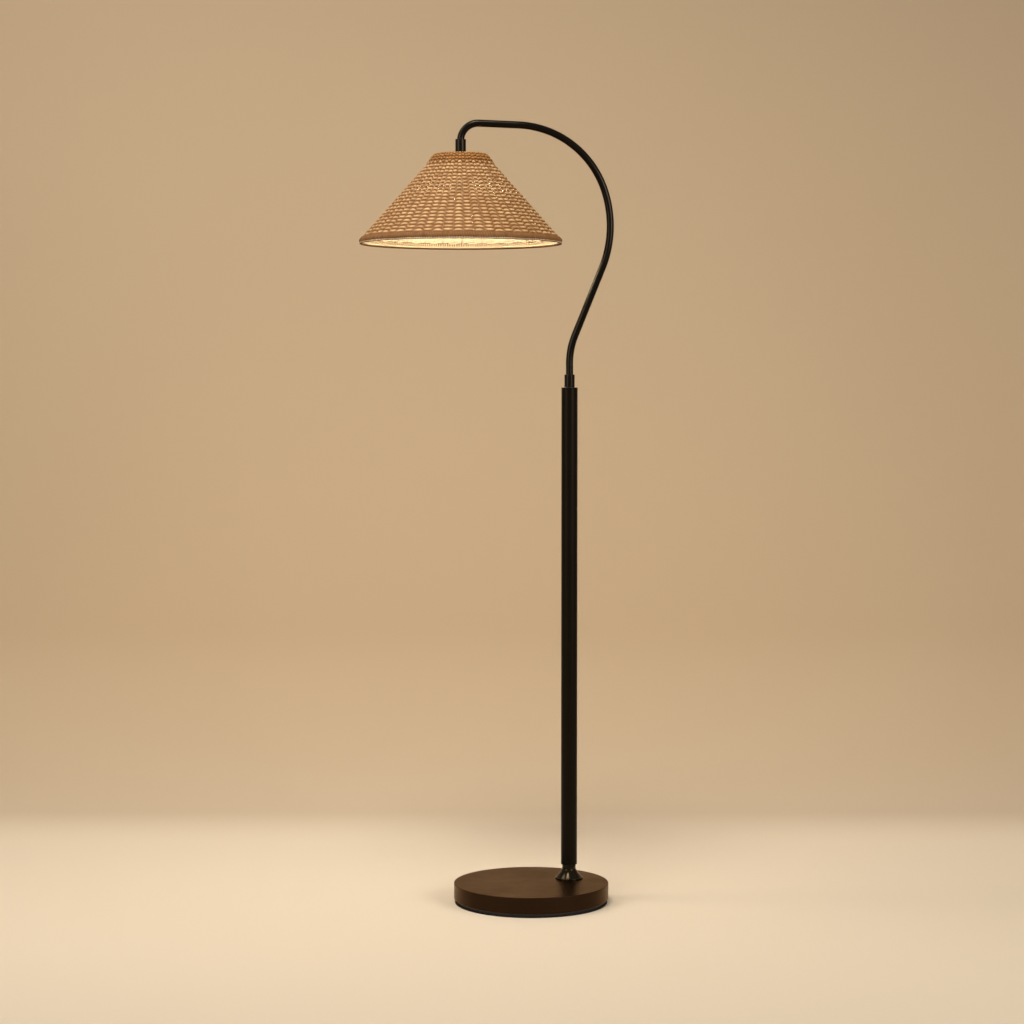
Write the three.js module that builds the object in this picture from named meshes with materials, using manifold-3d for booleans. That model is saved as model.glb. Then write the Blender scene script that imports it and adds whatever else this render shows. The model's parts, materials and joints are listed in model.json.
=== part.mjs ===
// Rattan floor lamp: a round weighted base, a straight pole set off the base's centre, and a bent arm
// that turns on top of the pole and carries a woven cone shade.
// Millimetres, +Z up. The origin is on the floor at the centre of the base. The arm points along -X at rest.
import * as THREE from "three";
import { mergeVertices } from "three/addons/utils/BufferGeometryUtils.js";
import Module from "manifold-3d";

const wasm = await Module();
wasm.setup();

// Sides of the round pieces, by size
const smallSides = 16;
const turnedSides = 24;
const baseSides = 64;
const shadeSides = 60; // one for each stake of the shade's weave
const wireSides = 6;
const edgePoints = 2; // steps round a small rounded edge
const foldPoints = 3;

// Clearances
const seatGap = 0.2; // round a piece that is fixed in its seat
const looseGap = 0.3; // between pieces that lie beside each other
const runningGap = 0.1; // between the turning arm and its bushes
const overrun = 2; // how far a cutting tool stands past the wall that it cuts

// Base
const baseRadius = 152.5;
const padThickness = 3;
const padInset = 2;
const plateThickness = 4;
const plateInset = 5;
const coverHeight = 32.2;
const coverWall = 1.5;
const coverEdgeRadius = 1; // round of the top edge
const coverFoldRadius = 3; // round of the bottom edge, where the skirt folds in
const coverLip = 5; // width of the lip folded in below the skirt
const weightDisc = 10; // thickness of the weight's disc
const weightRim = 12; // width of the rim that hangs down from the disc
const plateScrews = 4;
const plateScrewRadius = 2;
const plateScrewHeadRadius = 4;
const plateScrewHeadHeight = 2.2;
const plateScrewLength = 14;

// Where the pole stands on the base: its distance from the base's edge, and its bearing from +X
const poleInset = 68.6;
const poleBearing = THREE.MathUtils.degToRad(25.8);

// Threaded tube that clamps the pole, the flange, the cover and the weight together
const rodRadius = 6.5;
const rodBore = 4.6;
const rodEndBelowNut = 1;
const washerRadius = 14;
const washerThickness = 1.5;
const nutAcrossFlats = 19;
const nutThickness = 5;

// Mains lead inside the lamp, and the grommet where it enters the base
const leadRadius = 2.8;
const leadSides = 8;
const leadBend = 11.2; // centreline radius where the lead turns up into the threaded tube
const leadSlope = 25; // centreline radius of the two bends between grommet and plate
const leadEntryHeight = 15.5;
const grommetBodyRadius = 4.4;
const grommetFlangeRadius = 5.5;
const grommetFlange = 1.5;

// Pole and its flange
const poleRadius = 16;
const poleWall = 1.5;
const poleLength = 947.5;
const flangeRadius = 27.4;
const flangeHeight = 29.3; // with the neck
const flangeLip = 3; // upright edge at the foot of the flange
const flangeLipRound = 0.8;
const flangeWall = 4;
const neckRadius = 13.5;
const neckHeight = 9.2;
const flareShares = [0.2, 0.38]; // where the flare's end tangents cross, as shares of its width and height
const flarePoints = 6;
const lowerPlugLength = 24;
const rodIntoPlug = 22;

// Swivel in the top of the pole
const upperPlugLength = 50;
const bushWall = 1.6;
const bushLength = 16;
const bushFlangeRadius = 10.1;
const bushFlange = 0.8;
const ferruleRadius = 10.2;
const ferruleTop = 25.5; // over the pole's top
const edgeChamfer = 0.7;
const stopPinRadius = 1;
const stopPinInPlug = 9;
const stopRingHeight = 8;
const stopRingSlack = 0.6; // between the ring's tooth and the inside of the pole
const stopSwing = THREE.MathUtils.degToRad(90); // turn to each side of the base's centre line
const stopPlay = THREE.MathUtils.degToRad(1);
const stopScrewRadius = 1.5;
const stopRingPoints = 9; // steps round each half of the ring
const armEndBelowRing = 3;

// Arm: a bent tube
const armRadius = 7.2;
const armWall = 1.2;
const armSides = 16;
const armReach = 214.3; // from the pole's axis to the shade's axis
const armRiser = 48.6; // straight part over the pole's top
const armLeanRadius = 142.8;
const armLean = THREE.MathUtils.degToRad(21.94); // how far the slanted part leans out from upright
const armSlant = 143; // straight slanted part
const armReturnRadius = 219.8;
const armReturn = THREE.MathUtils.degToRad(41.92);
const armCrownRadius = 186.3;
const armRise = THREE.MathUtils.degToRad(2.5); // slope of the top part, rising towards the shade
const elbowRadius = 34;
const bendStep = THREE.MathUtils.degToRad(8);

// Head collar and nipple between the arm and the lamp holder
const headCollarRadius = 10.5;
const headCollarHeight = 30.5;
const headCollarOverElbow = 2.7; // how far the collar reaches up past the end of the elbow
const armInCollar = 14;
const collarGap = 0.45; // round the arm in the collar's bore, where the elbow still curves a little
const nippleRadius = 5;
const nippleBore = 3.6;
const nippleInCollar = 13;
const nippleInCap = 8;
const lockNutAcrossFlats = 14;
const lockNutThickness = 4;

// Lamp holder
const holderRadius = 19;
const holderWall = 2.2;
const capHeight = 19;
const capTopRadius = 10;
const capWall = 1.6;
const capDomePoints = 4;
const shellLength = 55;
const shellNeck = 6; // part of the shell that stands up inside the cap
const shadeRingRadius = 26;
const shadeRingHeight = 5;
const fitterBelowCap = 9; // from the cap's lower edge to the upper face of the fitter
const fitterThickness = 1.2;
const fitterRadius = 29.5;
const switchBlockHeight = 12;
const switchBelowFitter = 7;
const contactBlockHeight = 6;
const screwShellWall = 0.5;
const screwShellLength = 20;
const centreContactRadius = 3;
const centreContactThickness = 0.8;
const switchShaftRadius = 2;
const switchShaftInBlock = 5;
const switchKnobGap = 9; // from the holder to the knob
const switchKnobRadius = 5.5;
const switchKnobLength = 11;
const switchKnobOverShaft = 8;
const switchKnobFlutes = 10;
const switchKnobFluteShare = 0.86; // radius at the bottom of a flute over the knob's radius

// Bulb
const bulbCapRadius = 13.1;
const bulbCapWall = 0.4;
const bulbCapLength = 22;
const bulbCapTaper = 2; // height of the cap's shoulder
const bulbInsulatorRadius = 8.5;
const bulbInsulatorHeight = 2;
const bulbContactRadius = 4;
const bulbContactHeight = 1.2;
const bulbRadius = 30;
const bulbGlassLength = 82; // from the cap's rim to the tip
const bulbGlassWall = 1;
const bulbNeckInCap = 4;
const bulbPoints = 7;
const stemRadius = 4;
const stemLength = 38;
const stemFlare = 7; // height over which the stem widens to meet the neck
const filaments = 4;
const filamentRadius = 0.9;
const filamentLength = 26;
const filamentSlope = THREE.MathUtils.degToRad(14);

// Shade
const shadeRadius = 200;
const shadeHeight = 178.4;
const shadeWall = 6; // over a stake and the strands that pass on both sides of it
const shadeCornerRadius = 49.4; // where the line of the woven cone meets the plane of the flat top
const rowPitch = 4.65; // from one woven row to the next down the cone
const weaveDepth = 2.4; // from where a strand passes over a stake to where it passes under one
const bandProud = 2; // how far the top band stands over the woven cone
const shadeRound = 6; // how far the round shoulder runs each way from the band's corner
const shadeRoundPoints = 3;
const collarBelowShadeTop = 3.1; // how far the head collar goes down through the flat top
const rimRadius = 6; // round of the rim's outside
const rimPoints = 6;
const rimThickness = 7;
const rimOnCone = 6.5; // how far the rim runs up the cone from its round outside
const rimRingRadius = 1.6; // wire of the rim ring
const topRingRadius = 1.6; // wire of the top ring
const ribRadius = 1.3;
const ribs = 8;
const topBandOnCone = 25; // how far the top band runs down the cone
const topBandOnTop = 12; // how far it runs in over the flat top
const spiderArms = 3;
const spiderWireRadius = 1.5;
const spiderArmInset = 1; // from the fitter's edge to the arm's foot

// Places that follow from the sizes
const poleOffset = baseRadius - poleInset; // from the base's centre
const plateTop = padThickness + plateThickness;
const baseTop = plateTop + coverHeight;
const coverInside = baseTop - coverWall;
const weightUnder = coverInside - weightDisc;
const lipRadius = baseRadius - coverWall - coverLip;
const weightRadius = lipRadius - looseGap;
const poleBottom = baseTop + flangeHeight;
const poleTop = poleBottom + poleLength;
const poleBore = poleRadius - poleWall;
const plugRadius = poleBore - seatGap;
const bushBore = armRadius + runningGap;
const bushRadius = bushBore + bushWall;
const upperPlugBottom = poleTop - upperPlugLength;
const stopRingTop = upperPlugBottom - bushFlange - runningGap;
const stopRingBottom = stopRingTop - stopRingHeight;
const armBottom = stopRingBottom - armEndBelowRing;
const armBore = armRadius - armWall;

// Finishes: colour, roughness and metalness of the real surfaces
const finishes = {
  satinBlack: { color: 0x1c1a17, roughness: 0.42, metalness: 0.25 },
  glossBlack: { color: 0x0f0e0d, roughness: 0.18, metalness: 0.3 },
  castIron: { color: 0x4a4845, roughness: 0.75, metalness: 0.8 },
  zincSteel: { color: 0xb9bcc0, roughness: 0.38, metalness: 0.95 },
  brass: { color: 0xc9a24f, roughness: 0.32, metalness: 0.95 },
  nickel: { color: 0xc8c5bd, roughness: 0.25, metalness: 0.95 },
  blackRubber: { color: 0x191919, roughness: 0.85, metalness: 0 },
  blackNylon: { color: 0x1e1d1c, roughness: 0.5, metalness: 0 },
  blackPlastic: { color: 0x1a1a1b, roughness: 0.4, metalness: 0 },
  porcelain: { color: 0xeeeae0, roughness: 0.25, metalness: 0 },
  leadSheath: { color: 0x202020, roughness: 0.6, metalness: 0 },
  frostedGlass: { color: 0xfff1cf, roughness: 0.35, metalness: 0, emissive: 0xffcf87 },
  clearGlass: { color: 0xf4f4f0, roughness: 0.05, metalness: 0 },
  filament: { color: 0xffd58a, roughness: 0.6, metalness: 0, emissive: 0xffb54a },
  rattan: { color: 0xb98649, roughness: 0.7, metalness: 0 },
  rattanBand: { color: 0x8f6438, roughness: 0.72, metalness: 0 },
  ivoryWire: { color: 0xd8c9a8, roughness: 0.45, metalness: 0 },
};

// Adds one named piece to a group.
function piece(group, name, geometry, finish) {
  const material = new THREE.MeshStandardMaterial({ ...finishes[finish], flatShading: true });
  const mesh = new THREE.Mesh(geometry, material);
  mesh.name = name;
  group.add(mesh);
}

// Volume inside a mesh, from the tetrahedra that its triangles make with the origin.
function signedVolume(position, index) {
  const [a, b, c] = [new THREE.Vector3(), new THREE.Vector3(), new THREE.Vector3()];
  let volume = 0;
  for (let i = 0; i < index.length; i += 3) {
    a.fromBufferAttribute(position, index[i]);
    b.fromBufferAttribute(position, index[i + 1]);
    c.fromBufferAttribute(position, index[i + 2]);
    volume += a.dot(b.cross(c));
  }
  return volume;
}

// One closed surface with shared vertices, no collapsed triangles, and its faces turned outwards.
function closed(geometry) {
  geometry.deleteAttribute("normal");
  geometry.deleteAttribute("uv");
  const merged = mergeVertices(geometry);
  const kept = [];
  const index = merged.index.array;
  for (let i = 0; i < index.length; i += 3) {
    const [a, b, c] = [index[i], index[i + 1], index[i + 2]];
    if (a !== b && b !== c && c !== a) kept.push(a, b, c);
  }
  if (signedVolume(merged.attributes.position, kept) < 0) kept.reverse();
  merged.setIndex(kept);
  return merged;
}

function solid(geometry) {
  const mesh = new wasm.Mesh({
    numProp: 3,
    vertProperties: new Float32Array(geometry.attributes.position.array),
    triVerts: new Uint32Array(geometry.index.array),
  });
  return new wasm.Manifold(mesh);
}

function geometryOf(manifold) {
  const mesh = manifold.getMesh();
  const geometry = new THREE.BufferGeometry();
  geometry.setAttribute("position", new THREE.BufferAttribute(mesh.vertProperties, mesh.numProp));
  geometry.setIndex(new THREE.BufferAttribute(mesh.triVerts, 1));
  return geometry;
}

// The body without the tools' space.
function cut(body, ...tools) {
  return geometryOf(tools.reduce((rest, tool) => rest.subtract(solid(tool)), solid(body)));
}

// The pieces as one body, as welded or cast together.
function joined(first, ...others) {
  return geometryOf(others.reduce((sum, other) => sum.add(solid(other)), solid(first)));
}

// A body of revolution about the Z axis. The outline is a list of [radius, height] points. It starts and
// ends on the axis, or else its last point is joined to its first.
function turned(outline, sides) {
  const points = outline.map(([radius, height]) => new THREE.Vector2(radius, height));
  const onAxis = outline[0][0] === 0 && outline.at(-1)[0] === 0;
  if (!onAxis) points.push(points[0].clone());
  return closed(new THREE.LatheGeometry(points, sides).rotateX(Math.PI / 2));
}

// A body of revolution whose outline changes from side to side between two outlines with as many points.
// The number of sides is even.
function turnedInTurns(first, second, sides) {
  const points = [...first, first[0]].map(([radius, height]) => new THREE.Vector2(radius, height));
  const geometry = new THREE.LatheGeometry(points, sides);
  for (let side = 1; side < sides; side += 2) {
    const angle = (side * 2 * Math.PI) / sides;
    [...second, second[0]].forEach(([radius, height], i) => {
      const [x, z] = [radius * Math.sin(angle), radius * Math.cos(angle)];
      geometry.attributes.position.setXYZ(side * points.length + i, x, height, z);
    });
  }
  return closed(geometry.rotateX(Math.PI / 2));
}

function rod(radius, bottom, top, sides) {
  return turned([[0, bottom], [radius, bottom], [radius, top], [0, top]], sides);
}

function pipe(radius, bore, bottom, top, sides) {
  return turned([[bore, bottom], [radius, bottom], [radius, top], [bore, top]], sides);
}

// A flat shape drawn in X and Y, raised from one height to another.
function raised(shape, bottom, top) {
  const geometry = new THREE.ExtrudeGeometry(shape, { depth: top - bottom, bevelEnabled: false });
  return closed(geometry.translate(0, 0, bottom));
}

function arcPoints(radius, from, to, steps) {
  return Array.from({ length: steps + 1 }, (_, i) => {
    const angle = from + ((to - from) * i) / steps;
    return new THREE.Vector2(radius * Math.cos(angle), radius * Math.sin(angle));
  });
}

function circle(radius, sides) {
  return arcPoints(radius, 0, 2 * Math.PI, sides).slice(0, -1);
}

// A hexagon nut with a plain bore.
function nut(acrossFlats, bore, bottom, top) {
  const shape = new THREE.Shape(circle(acrossFlats / Math.sqrt(3), 6));
  shape.holes.push(new THREE.Path(circle(bore, smallSides)));
  return raised(shape, bottom, top);
}

// A rod between two points.
function wire(radius, from, to) {
  const length = from.distanceTo(to);
  const along = to.clone().sub(from).normalize();
  const turn = new THREE.Quaternion().setFromUnitVectors(new THREE.Vector3(0, 0, 1), along);
  return rod(radius, 0, length, wireSides).applyQuaternion(turn).translate(from.x, from.y, from.z);
}

// A path in the XZ plane, made of straight parts and round bends, as a tube bender makes it.
// The heading is the angle from +Z towards +X. A move is { ahead } or { radius, turn }, and a positive
// turn bends towards +X from a heading of zero.
class BentPath extends THREE.Curve {
  constructor(x, z, heading, moves) {
    super();
    this.stations = [];
    this.mark(x, z, heading);
    for (const { ahead, radius, turn } of moves) {
      const last = this.end;
      if (ahead !== undefined) {
        const endX = last.x + ahead * Math.sin(last.heading);
        const endZ = last.z + ahead * Math.cos(last.heading);
        this.mark(endX, endZ, last.heading);
        continue;
      }
      const side = Math.sign(turn);
      const centreX = last.x + side * radius * Math.cos(last.heading);
      const centreZ = last.z - side * radius * Math.sin(last.heading);
      const steps = Math.ceil(Math.abs(turn) / bendStep);
      for (let i = 1; i <= steps; i += 1) {
        const now = last.heading + (turn * i) / steps;
        this.mark(centreX - side * radius * Math.cos(now), centreZ + side * radius * Math.sin(now), now);
      }
    }
  }

  mark(x, z, heading) {
    this.stations.push({ x, z, heading });
  }

  get end() {
    return this.stations.at(-1);
  }

  at(share) {
    return this.stations[Math.round(share * (this.stations.length - 1))];
  }

  getPointAt(share) {
    const { x, z } = this.at(share);
    return new THREE.Vector3(x, 0, z);
  }

  getTangentAt(share) {
    const { heading } = this.at(share);
    return new THREE.Vector3(Math.sin(heading), 0, Math.cos(heading));
  }
}

// A tube, or a solid cord where the bore is zero, along a path.
function drawn(path, radius, bore, sides) {
  const section = new THREE.Shape(circle(radius, sides));
  if (bore > 0) section.holes.push(new THREE.Path(circle(bore, sides)));
  return closed(new THREE.ExtrudeGeometry(section, { steps: path.stations.length - 1, extrudePath: path }));
}

// Base: foot pad, bottom plate with its screws, iron weight and steel cover. Its group is turned so that
// the pole stands on the group's own +X axis.
const lamp = new THREE.Group();
const base = new THREE.Group();
base.rotation.z = poleBearing;
lamp.add(base);

piece(base, "foot_pad", rod(baseRadius - padInset, 0, padThickness, baseSides), "blackRubber");

// A countersunk screw, head down, and the hole that it passes through. Each is widened by a gap.
function plateScrew(gap, tip) {
  const shank = plateScrewRadius + gap;
  const head = plateScrewHeadRadius + gap;
  const neck = padThickness + plateScrewHeadHeight;
  return turned([[0, padThickness], [head, padThickness], [shank, neck], [shank, tip], [0, tip]], smallSides);
}
const screwTip = padThickness + plateScrewLength;
const screwCircle = weightRadius - weightRim / 2;
const screwPlaces = Array.from({ length: plateScrews }, (_, i) => {
  const angle = ((i + 1 / 2) * 2 * Math.PI) / plateScrews;
  return [screwCircle * Math.cos(angle), screwCircle * Math.sin(angle)];
});
const screwHoles = screwPlaces.map(([x, y]) => plateScrew(seatGap, screwTip + overrun).translate(x, y, 0));

piece(
  base,
  "bottom_plate",
  cut(rod(baseRadius - plateInset, padThickness, plateTop, baseSides), ...screwHoles),
  "satinBlack",
);
screwPlaces.forEach(([x, y], i) => {
  piece(base, `plate_screw_${i + 1}`, plateScrew(0, screwTip).translate(x, y, 0), "zincSteel");
});

// The weight is a disc with a rim that stands on the plate. The lead passes under its disc through a notch.
const weightRimInside = weightRadius - weightRim;
const weightBlank = turned(
  [
    [0, weightUnder],
    [weightRimInside, weightUnder],
    [weightRimInside, plateTop],
    [weightRadius, plateTop],
    [weightRadius, coverInside],
    [0, coverInside],
  ],
  baseSides,
);
const rodHole = rod(rodRadius + seatGap, 0, baseTop + overrun, smallSides).translate(poleOffset, 0, 0);
const notchTop = leadEntryHeight + leadRadius + overrun;
const leadNotch = closed(
  new THREE.BoxGeometry(weightRim + 2 * overrun, 2 * (leadRadius + overrun), notchTop).translate(
    weightRadius - weightRim / 2,
    0,
    notchTop / 2,
  ),
);
piece(base, "base_weight", cut(weightBlank, rodHole, leadNotch, ...screwHoles), "castIron");

// The cover is pressed from sheet: a flat top, a skirt, and a lip folded in under it.
const skirtInside = baseRadius - coverWall;
const coverFold = arcPoints(coverFoldRadius, 0, -Math.PI / 2, foldPoints);
const foldInside = arcPoints(coverFoldRadius - coverWall, -Math.PI / 2, 0, edgePoints);
const foldX = baseRadius - coverFoldRadius;
const foldZ = plateTop + coverFoldRadius;
const coverEdge = arcPoints(coverEdgeRadius, Math.PI / 2, 0, edgePoints);
const coverBlank = turned(
  [
    [0, baseTop],
    ...coverEdge.map((p) => [baseRadius - coverEdgeRadius + p.x, baseTop - coverEdgeRadius + p.y]),
    ...coverFold.map((p) => [foldX + p.x, foldZ + p.y]),
    [lipRadius, plateTop],
    [lipRadius, plateTop + coverWall],
    ...foldInside.map((p) => [foldX + p.x, foldZ + p.y]),
    [skirtInside, coverInside],
    [0, coverInside],
  ],
  baseSides,
);
const grommetHole = rod(grommetBodyRadius + seatGap, skirtInside - overrun, baseRadius + overrun, smallSides)
  .rotateY(Math.PI / 2)
  .translate(0, 0, leadEntryHeight);
piece(base, "base_cover", cut(coverBlank, rodHole, grommetHole), "satinBlack");

// Rubber grommet: a body in the cover's wall with a flange on each side of it. The skirt curves towards
// the inner flange's edge.
const grommetBore = leadRadius + looseGap;
const skirtCurve = grommetFlangeRadius * Math.tan(Math.PI / baseSides);
const grommetIn = skirtInside - skirtCurve - looseGap;
const grommetOut = baseRadius + looseGap;
const grommet = turned(
  [
    [grommetBore, grommetIn - grommetFlange],
    [grommetFlangeRadius, grommetIn - grommetFlange],
    [grommetFlangeRadius, grommetIn],
    [grommetBodyRadius, grommetIn],
    [grommetBodyRadius, grommetOut],
    [grommetFlangeRadius, grommetOut],
    [grommetFlangeRadius, grommetOut + grommetFlange],
    [grommetBore, grommetOut + grommetFlange],
  ],
  smallSides,
);
piece(base, "cable_grommet", grommet.rotateY(Math.PI / 2).translate(0, 0, leadEntryHeight), "blackRubber");

// Pole and its clamp, in a group on the pole's axis
const pole = new THREE.Group();
pole.position.x = poleOffset;
base.add(pole);

const washerBottom = weightUnder - washerThickness;
const nutBottom = washerBottom - nutThickness;
const clampBore = rodRadius + seatGap;
piece(pole, "base_washer", pipe(washerRadius, clampBore, washerBottom, weightUnder, smallSides), "zincSteel");
piece(pole, "base_nut", nut(nutAcrossFlats, clampBore, nutBottom, washerBottom), "zincSteel");
piece(
  pole,
  "threaded_tube",
  pipe(rodRadius, rodBore, nutBottom - rodEndBelowNut, poleBottom + rodIntoPlug, smallSides),
  "zincSteel",
);

// The flange flares down from its neck to an upright edge. It is hollow under the flare.
const flareTop = poleBottom - neckHeight;
const flareBottom = baseTop + flangeLip;
const flare = new THREE.QuadraticBezierCurve(
  new THREE.Vector2(neckRadius, flareTop),
  new THREE.Vector2(
    THREE.MathUtils.lerp(neckRadius, flangeRadius, flareShares[0]),
    THREE.MathUtils.lerp(flareTop, flareBottom, flareShares[1]),
  ),
  new THREE.Vector2(flangeRadius - flangeLipRound, flareBottom),
);
const lipRound = arcPoints(flangeLipRound, Math.PI / 2, 0, edgePoints).slice(1);
piece(
  pole,
  "pole_flange",
  turned(
    [
      [clampBore, poleBottom],
      [neckRadius, poleBottom],
      ...flare.getPoints(flarePoints).map((p) => [p.x, p.y]),
      ...lipRound.map((p) => [flangeRadius - flangeLipRound + p.x, flareBottom - flangeLipRound + p.y]),
      [flangeRadius, baseTop],
      [flangeRadius - flangeWall, baseTop],
      [neckRadius - flangeWall, flareTop - flangeWall],
      [clampBore, flareTop - flangeWall],
    ],
    turnedSides,
  ),
  "glossBlack",
);

const lowerPlugTop = poleBottom + lowerPlugLength;
piece(pole, "lower_plug", pipe(plugRadius, clampBore, poleBottom, lowerPlugTop, turnedSides), "zincSteel");
piece(pole, "pole_tube", pipe(poleRadius, poleBore, poleBottom, poleTop, turnedSides), "satinBlack");

// The upper plug holds a flanged nylon bush in each end. The stop pin hangs from its lower face, on the
// side that looks to the middle of the base.
const pinCircle = bushFlangeRadius + looseGap + stopPinRadius;
const pinTop = upperPlugBottom + stopPinInPlug;
const pinBottom = stopRingBottom + looseGap;
const pinHole = rod(stopPinRadius + seatGap, upperPlugBottom - overrun, pinTop + looseGap, smallSides);
const upperPlugBlank = pipe(plugRadius, bushRadius + seatGap, upperPlugBottom, poleTop, turnedSides);
piece(pole, "upper_plug", cut(upperPlugBlank, pinHole.translate(-pinCircle, 0, 0)), "zincSteel");
const stopPin = rod(stopPinRadius, pinBottom, pinTop, smallSides).translate(-pinCircle, 0, 0);
piece(pole, "stop_pin", stopPin, "zincSteel");

// A flanged bush. It runs from its seat inwards, and its flange lies on the seat's outer side.
function bush(seat, inwards) {
  return turned(
    [
      [bushBore, seat - inwards * bushFlange],
      [bushFlangeRadius, seat - inwards * bushFlange],
      [bushFlangeRadius, seat],
      [bushRadius, seat],
      [bushRadius, seat + inwards * bushLength],
      [bushBore, seat + inwards * bushLength],
    ],
    turnedSides,
  );
}
piece(pole, "upper_bush", bush(poleTop, -1), "blackNylon");
piece(pole, "lower_bush", bush(upperPlugBottom, 1), "blackNylon");

// Lead from the grommet, down under the weight, and up the middle of the pole. It ends inside the arm,
// where the arm's own length takes over, because the arm turns.
const leadFloor = plateTop + looseGap + leadRadius;
const slopeTurn = Math.acos(1 - (leadEntryHeight - leadFloor) / (2 * leadSlope));
const leadStart = grommetOut + grommetFlange;
const leadInGrommet = leadStart - weightRadius;
const slopeRun = 2 * leadSlope * Math.sin(slopeTurn);
const leadRun = leadStart - leadInGrommet - slopeRun - poleOffset - leadBend;
const leadSplit = armBottom + upperPlugLength;
const lowerLead = new BentPath(leadStart, leadEntryHeight, -Math.PI / 2, [
  { ahead: leadInGrommet },
  { radius: leadSlope, turn: -slopeTurn },
  { radius: leadSlope, turn: slopeTurn },
  { ahead: leadRun },
  { radius: leadBend, turn: Math.PI / 2 },
  { ahead: leadSplit - looseGap / 2 - leadFloor - leadBend },
]);
piece(base, "lower_lead", drawn(lowerLead, leadRadius, 0, leadSides), "leadSheath");

// Arm, in a group on the pole's axis that isn't turned with the base
const arm = new THREE.Group();
arm.position.set(poleOffset * Math.cos(poleBearing), poleOffset * Math.sin(poleBearing), 0);
lamp.add(arm);

// The tube leans out over the pole, comes back, runs over the crown and along, and turns down at the elbow.
const towardsCrown = [
  { ahead: poleTop + armRiser - armBottom },
  { radius: armLeanRadius, turn: armLean },
  { ahead: armSlant },
  { radius: armReturnRadius, turn: -armReturn },
  { radius: armCrownRadius, turn: -(Math.PI / 2 - armRise + armLean - armReturn) },
];
const elbowTurn = Math.PI / 2 + armRise;
const crownEnd = new BentPath(0, armBottom, 0, towardsCrown).end;
const elbowWidth = elbowRadius * (1 + Math.sin(armRise));
const topRun = (armReach + crownEnd.x - elbowWidth) / Math.cos(armRise);
const toElbow = [...towardsCrown, { ahead: topRun }, { radius: elbowRadius, turn: -elbowTurn }];
const elbowEnd = new BentPath(0, armBottom, 0, toElbow).end;
const armPath = new BentPath(0, armBottom, 0, [...toElbow, { ahead: armInCollar - headCollarOverElbow }]);
piece(arm, "arm_tube", drawn(armPath, armRadius, armBore, armSides), "satinBlack");

const ferruleBottom = poleTop + bushFlange + runningGap;
piece(
  arm,
  "arm_ferrule",
  turned(
    [
      [armRadius + seatGap, ferruleBottom],
      [ferruleRadius, ferruleBottom],
      [ferruleRadius, poleTop + ferruleTop - edgeChamfer],
      [ferruleRadius - edgeChamfer, poleTop + ferruleTop],
      [armRadius + seatGap, poleTop + ferruleTop],
    ],
    turnedSides,
  ),
  "satinBlack",
);

// The stop ring is a hub with one wide tooth on the side away from the shade. The stop pin travels beside
// the hub until it meets the tooth.
const toothRadius = poleBore - stopRingSlack;
const hubRadius = pinCircle - stopPinRadius - looseGap;
const pinHalfAngle = Math.asin(stopPinRadius / pinCircle);
const toothHalf = Math.PI - stopSwing - pinHalfAngle - stopPlay;
const ringShape = new THREE.Shape([
  ...arcPoints(toothRadius, -toothHalf, toothHalf, stopRingPoints),
  ...arcPoints(hubRadius, toothHalf, 2 * Math.PI - toothHalf, stopRingPoints),
]);
ringShape.holes.push(new THREE.Path(circle(armRadius + seatGap, smallSides)));
const ringMiddle = (stopRingTop + stopRingBottom) / 2;
const ringHole = rod(stopScrewRadius + seatGap, armRadius, toothRadius + overrun, smallSides)
  .rotateY(Math.PI / 2)
  .translate(0, 0, ringMiddle);
piece(arm, "stop_ring", cut(raised(ringShape, stopRingBottom, stopRingTop), ringHole), "zincSteel");
const stopScrew = rod(stopScrewRadius, armRadius + seatGap, toothRadius - stopRingSlack, smallSides);
piece(arm, "stop_ring_screw", stopScrew.rotateY(Math.PI / 2).translate(0, 0, ringMiddle), "zincSteel");

// Head, in a group on the shade's axis whose origin is at the bottom of the head collar
const headCollarTop = elbowEnd.z + headCollarOverElbow;
const head = new THREE.Group();
head.position.set(-armReach, 0, headCollarTop - headCollarHeight);
arm.add(head);

const collarBore = armRadius + collarGap;
const collarWeb = headCollarHeight - armInCollar - looseGap;
const nippleSeat = nippleRadius + seatGap;
piece(
  head,
  "head_collar",
  turned(
    [
      [collarBore, headCollarHeight],
      [headCollarRadius - edgeChamfer, headCollarHeight],
      [headCollarRadius, headCollarHeight - edgeChamfer],
      [headCollarRadius, 0],
      [nippleSeat, 0],
      [nippleSeat, collarWeb],
      [collarBore, collarWeb],
    ],
    turnedSides,
  ),
  "satinBlack",
);
const nipple = pipe(nippleRadius, nippleBore, -nippleInCap, nippleInCollar, smallSides);
piece(head, "head_nipple", nipple, "zincSteel");
piece(
  head,
  "nipple_locknut",
  nut(lockNutAcrossFlats, nippleSeat, -capWall - lockNutThickness, -capWall),
  "zincSteel",
);

// Holder cap: a dome on a short cylinder, as a shell of even wall
const capDome = arcPoints(1, Math.PI / 2, 0, capDomePoints);
function capOutline(offset) {
  const wide = holderRadius - capTopRadius;
  return capDome.map((p) => [capTopRadius - offset + wide * p.x, -offset + wide * (p.y - 1)]);
}
const capInside = holderRadius - capWall;
piece(
  head,
  "holder_cap",
  turned(
    [
      [nippleSeat, 0],
      ...capOutline(0),
      [holderRadius, -capHeight],
      [capInside, -capHeight],
      ...capOutline(capWall).reverse(),
      [nippleSeat, -capWall],
    ],
    turnedSides,
  ),
  "blackPlastic",
);

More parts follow.
